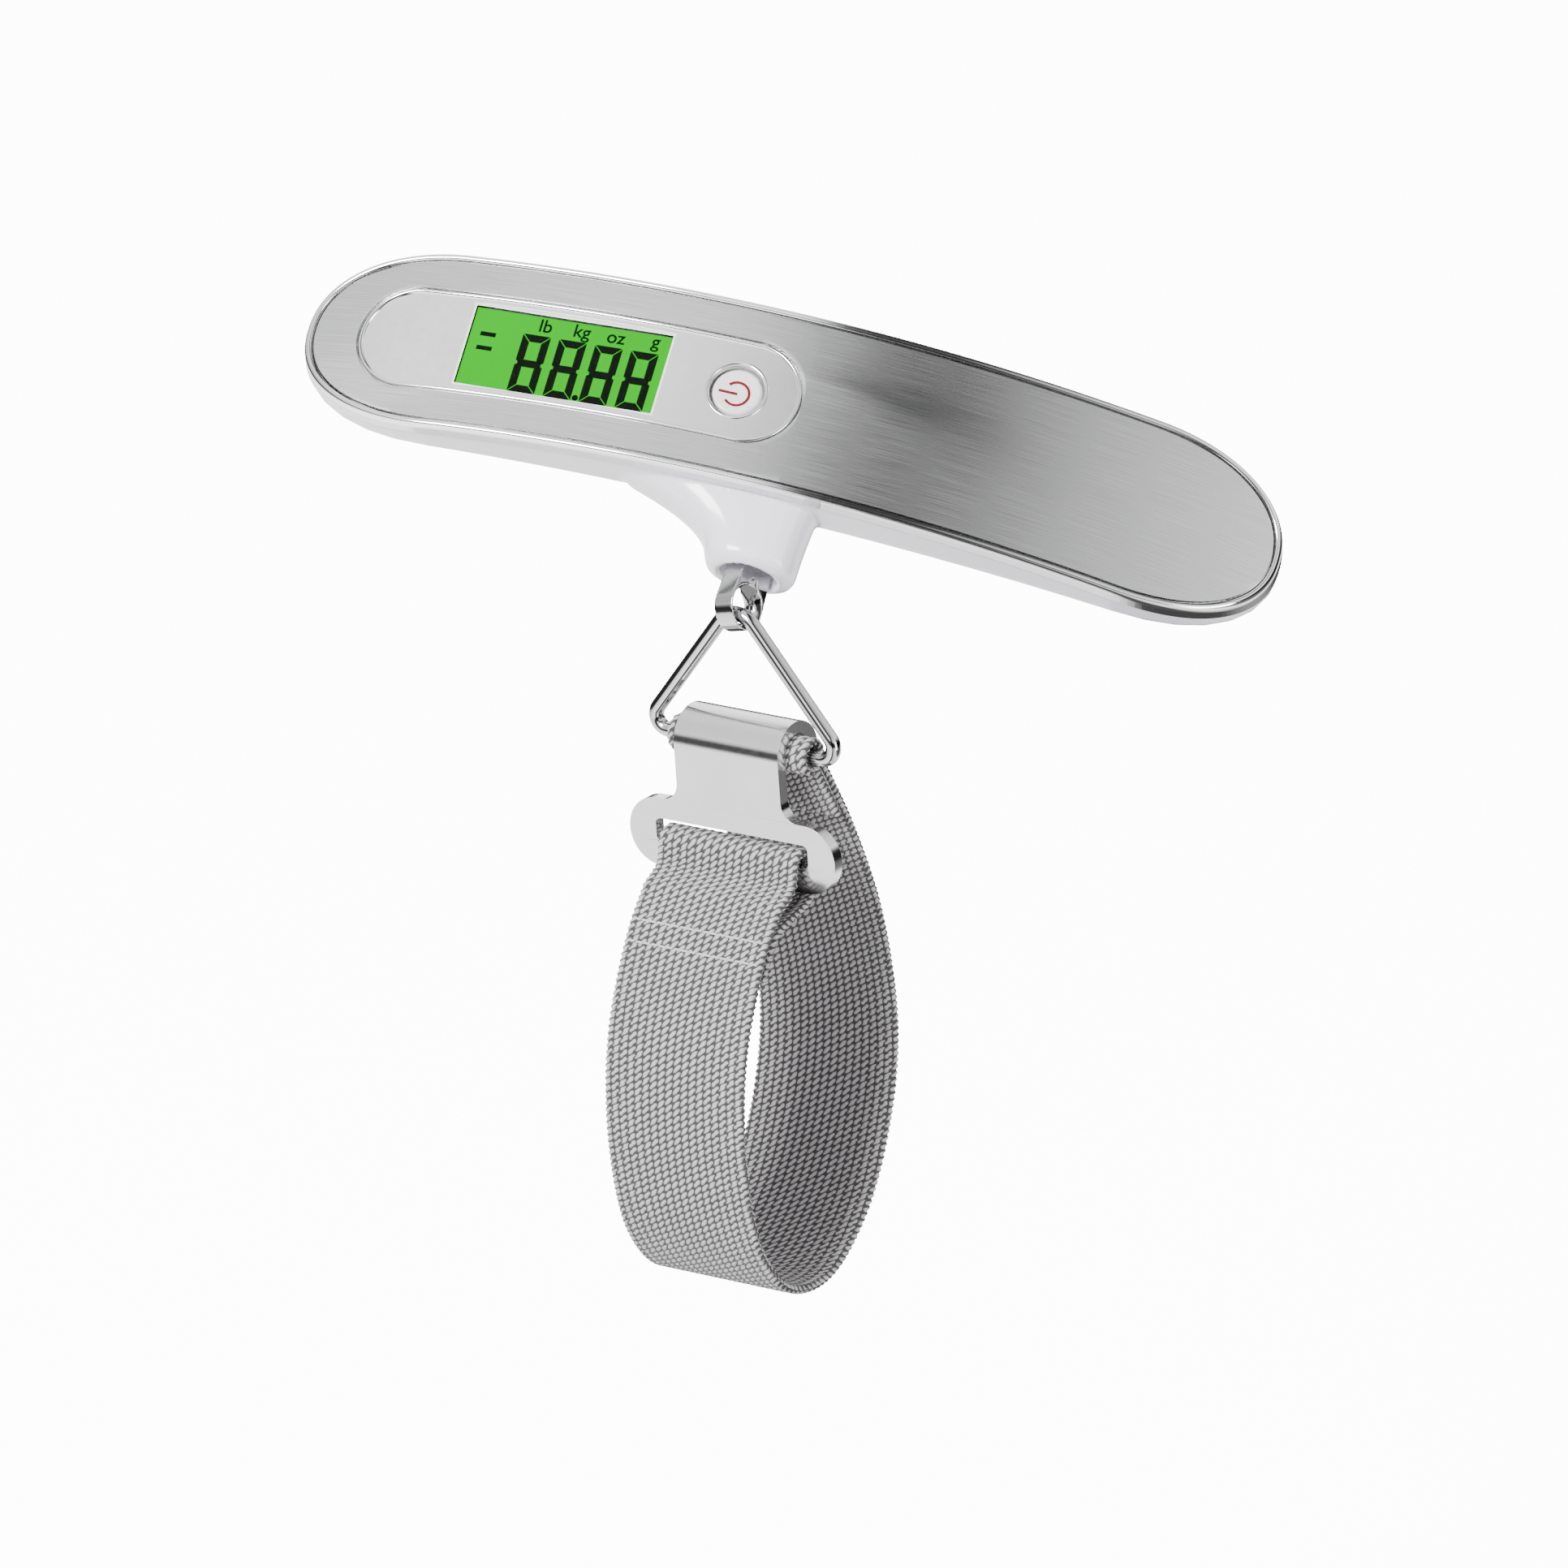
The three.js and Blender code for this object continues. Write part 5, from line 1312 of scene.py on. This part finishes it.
def area(name, place, target, size, power):
    """A white rectangular lamp turned to its target, in metres and watts."""
    data = bpy.data.lights.new(name, "AREA")
    data.shape = "RECTANGLE"
    data.size, data.size_y = size
    data.energy = power
    obj = bpy.data.objects.new(name, data)
    obj.location = place
    aim = Vector(target) - Vector(place)
    obj.rotation_euler = aim.to_track_quat("-Z", "Y").to_euler()
    bpy.context.scene.collection.objects.link(obj)


def brightness(tree, direction, stops):
    """A grey that depends on how much of the view direction lies along the given one."""
    place = tree.nodes.new("ShaderNodeTexCoord").outputs["Generated"]
    dot = tree.nodes.new("ShaderNodeVectorMath")
    dot.operation = "DOT_PRODUCT"
    tree.links.new(place, dot.inputs[0])
    dot.inputs[1].default_value = direction
    half = tree.nodes.new("ShaderNodeMapRange")
    half.inputs["From Min"].default_value = -1
    tree.links.new(dot.outputs["Value"], half.inputs["Value"])
    ramp = tree.nodes.new("ShaderNodeValToRGB")
    tree.links.new(half.outputs[0], ramp.inputs[0])
    while len(ramp.color_ramp.elements) < len(stops):
        ramp.color_ramp.elements.new(0.5)
    for element, (position, value) in zip(ramp.color_ramp.elements, stops):
        element.position = (position + 1) / 2
        element.color = (value, value, value, 1)
    return ramp.outputs[0]


def studio_world():
    """A bright studio with dark flags across the bar's middle, its right end and the horizon."""
    world = bpy.data.worlds.new("studio")
    bpy.context.scene.world = world
    world.use_nodes = True
    tree = world.node_tree
    background = tree.nodes["Background"]
    both = tree.nodes.new("ShaderNodeMix")
    both.data_type = "RGBA"
    both.blend_type = "MULTIPLY"
    both.inputs["Factor"].default_value = 1
    along_bar = BAR.to_3x3() @ Vector((1, 0, 0))
    tree.links.new(brightness(tree, along_bar, FLAG_STOPS), both.inputs["A"])
    tree.links.new(brightness(tree, Vector((0, 0, 1)), HEIGHT_STOPS), both.inputs["B"])
    tree.links.new(both.outputs["Result"], background.inputs["Color"])
    background.inputs["Strength"].default_value = WORLD_STRENGTH


def stage():
    """A white floor that only the camera sees, the studio and two lamps."""
    white = Nodes("studio_white", Roughness=0.9, Emission_Strength=FLOOR_GLOW)
    white.shader.inputs["Emission Color"].default_value = (1, 1, 1, 1)
    verts = [(x, y, FLOOR_LEVEL) for x, y in rectangle(FLOOR_SIZE, FLOOR_SIZE)]
    place = Matrix.Identity(4)
    floor = make("floor", verts, [(0, 1, 2, 3)], place, white.material, None, smooth=False)
    floor.visible_diffuse = False
    floor.visible_glossy = False
    floor.visible_transmission = False
    floor.visible_shadow = False
    studio_world()
    area("key", (-0.55, -1.0, 0.9), (0, 0, -0.03), (0.5, 0.5), 42)
    area("fill", (0.9, -0.6, -0.1), (0, 0, -0.04), (0.4, 0.7), 8)


# ---- build

camera()
stage()
dress_cad_nodes()
face_plate()
front_frame()
window_bezel()
display()
power_button()
triangle_link()
hook_plate()
webbing()
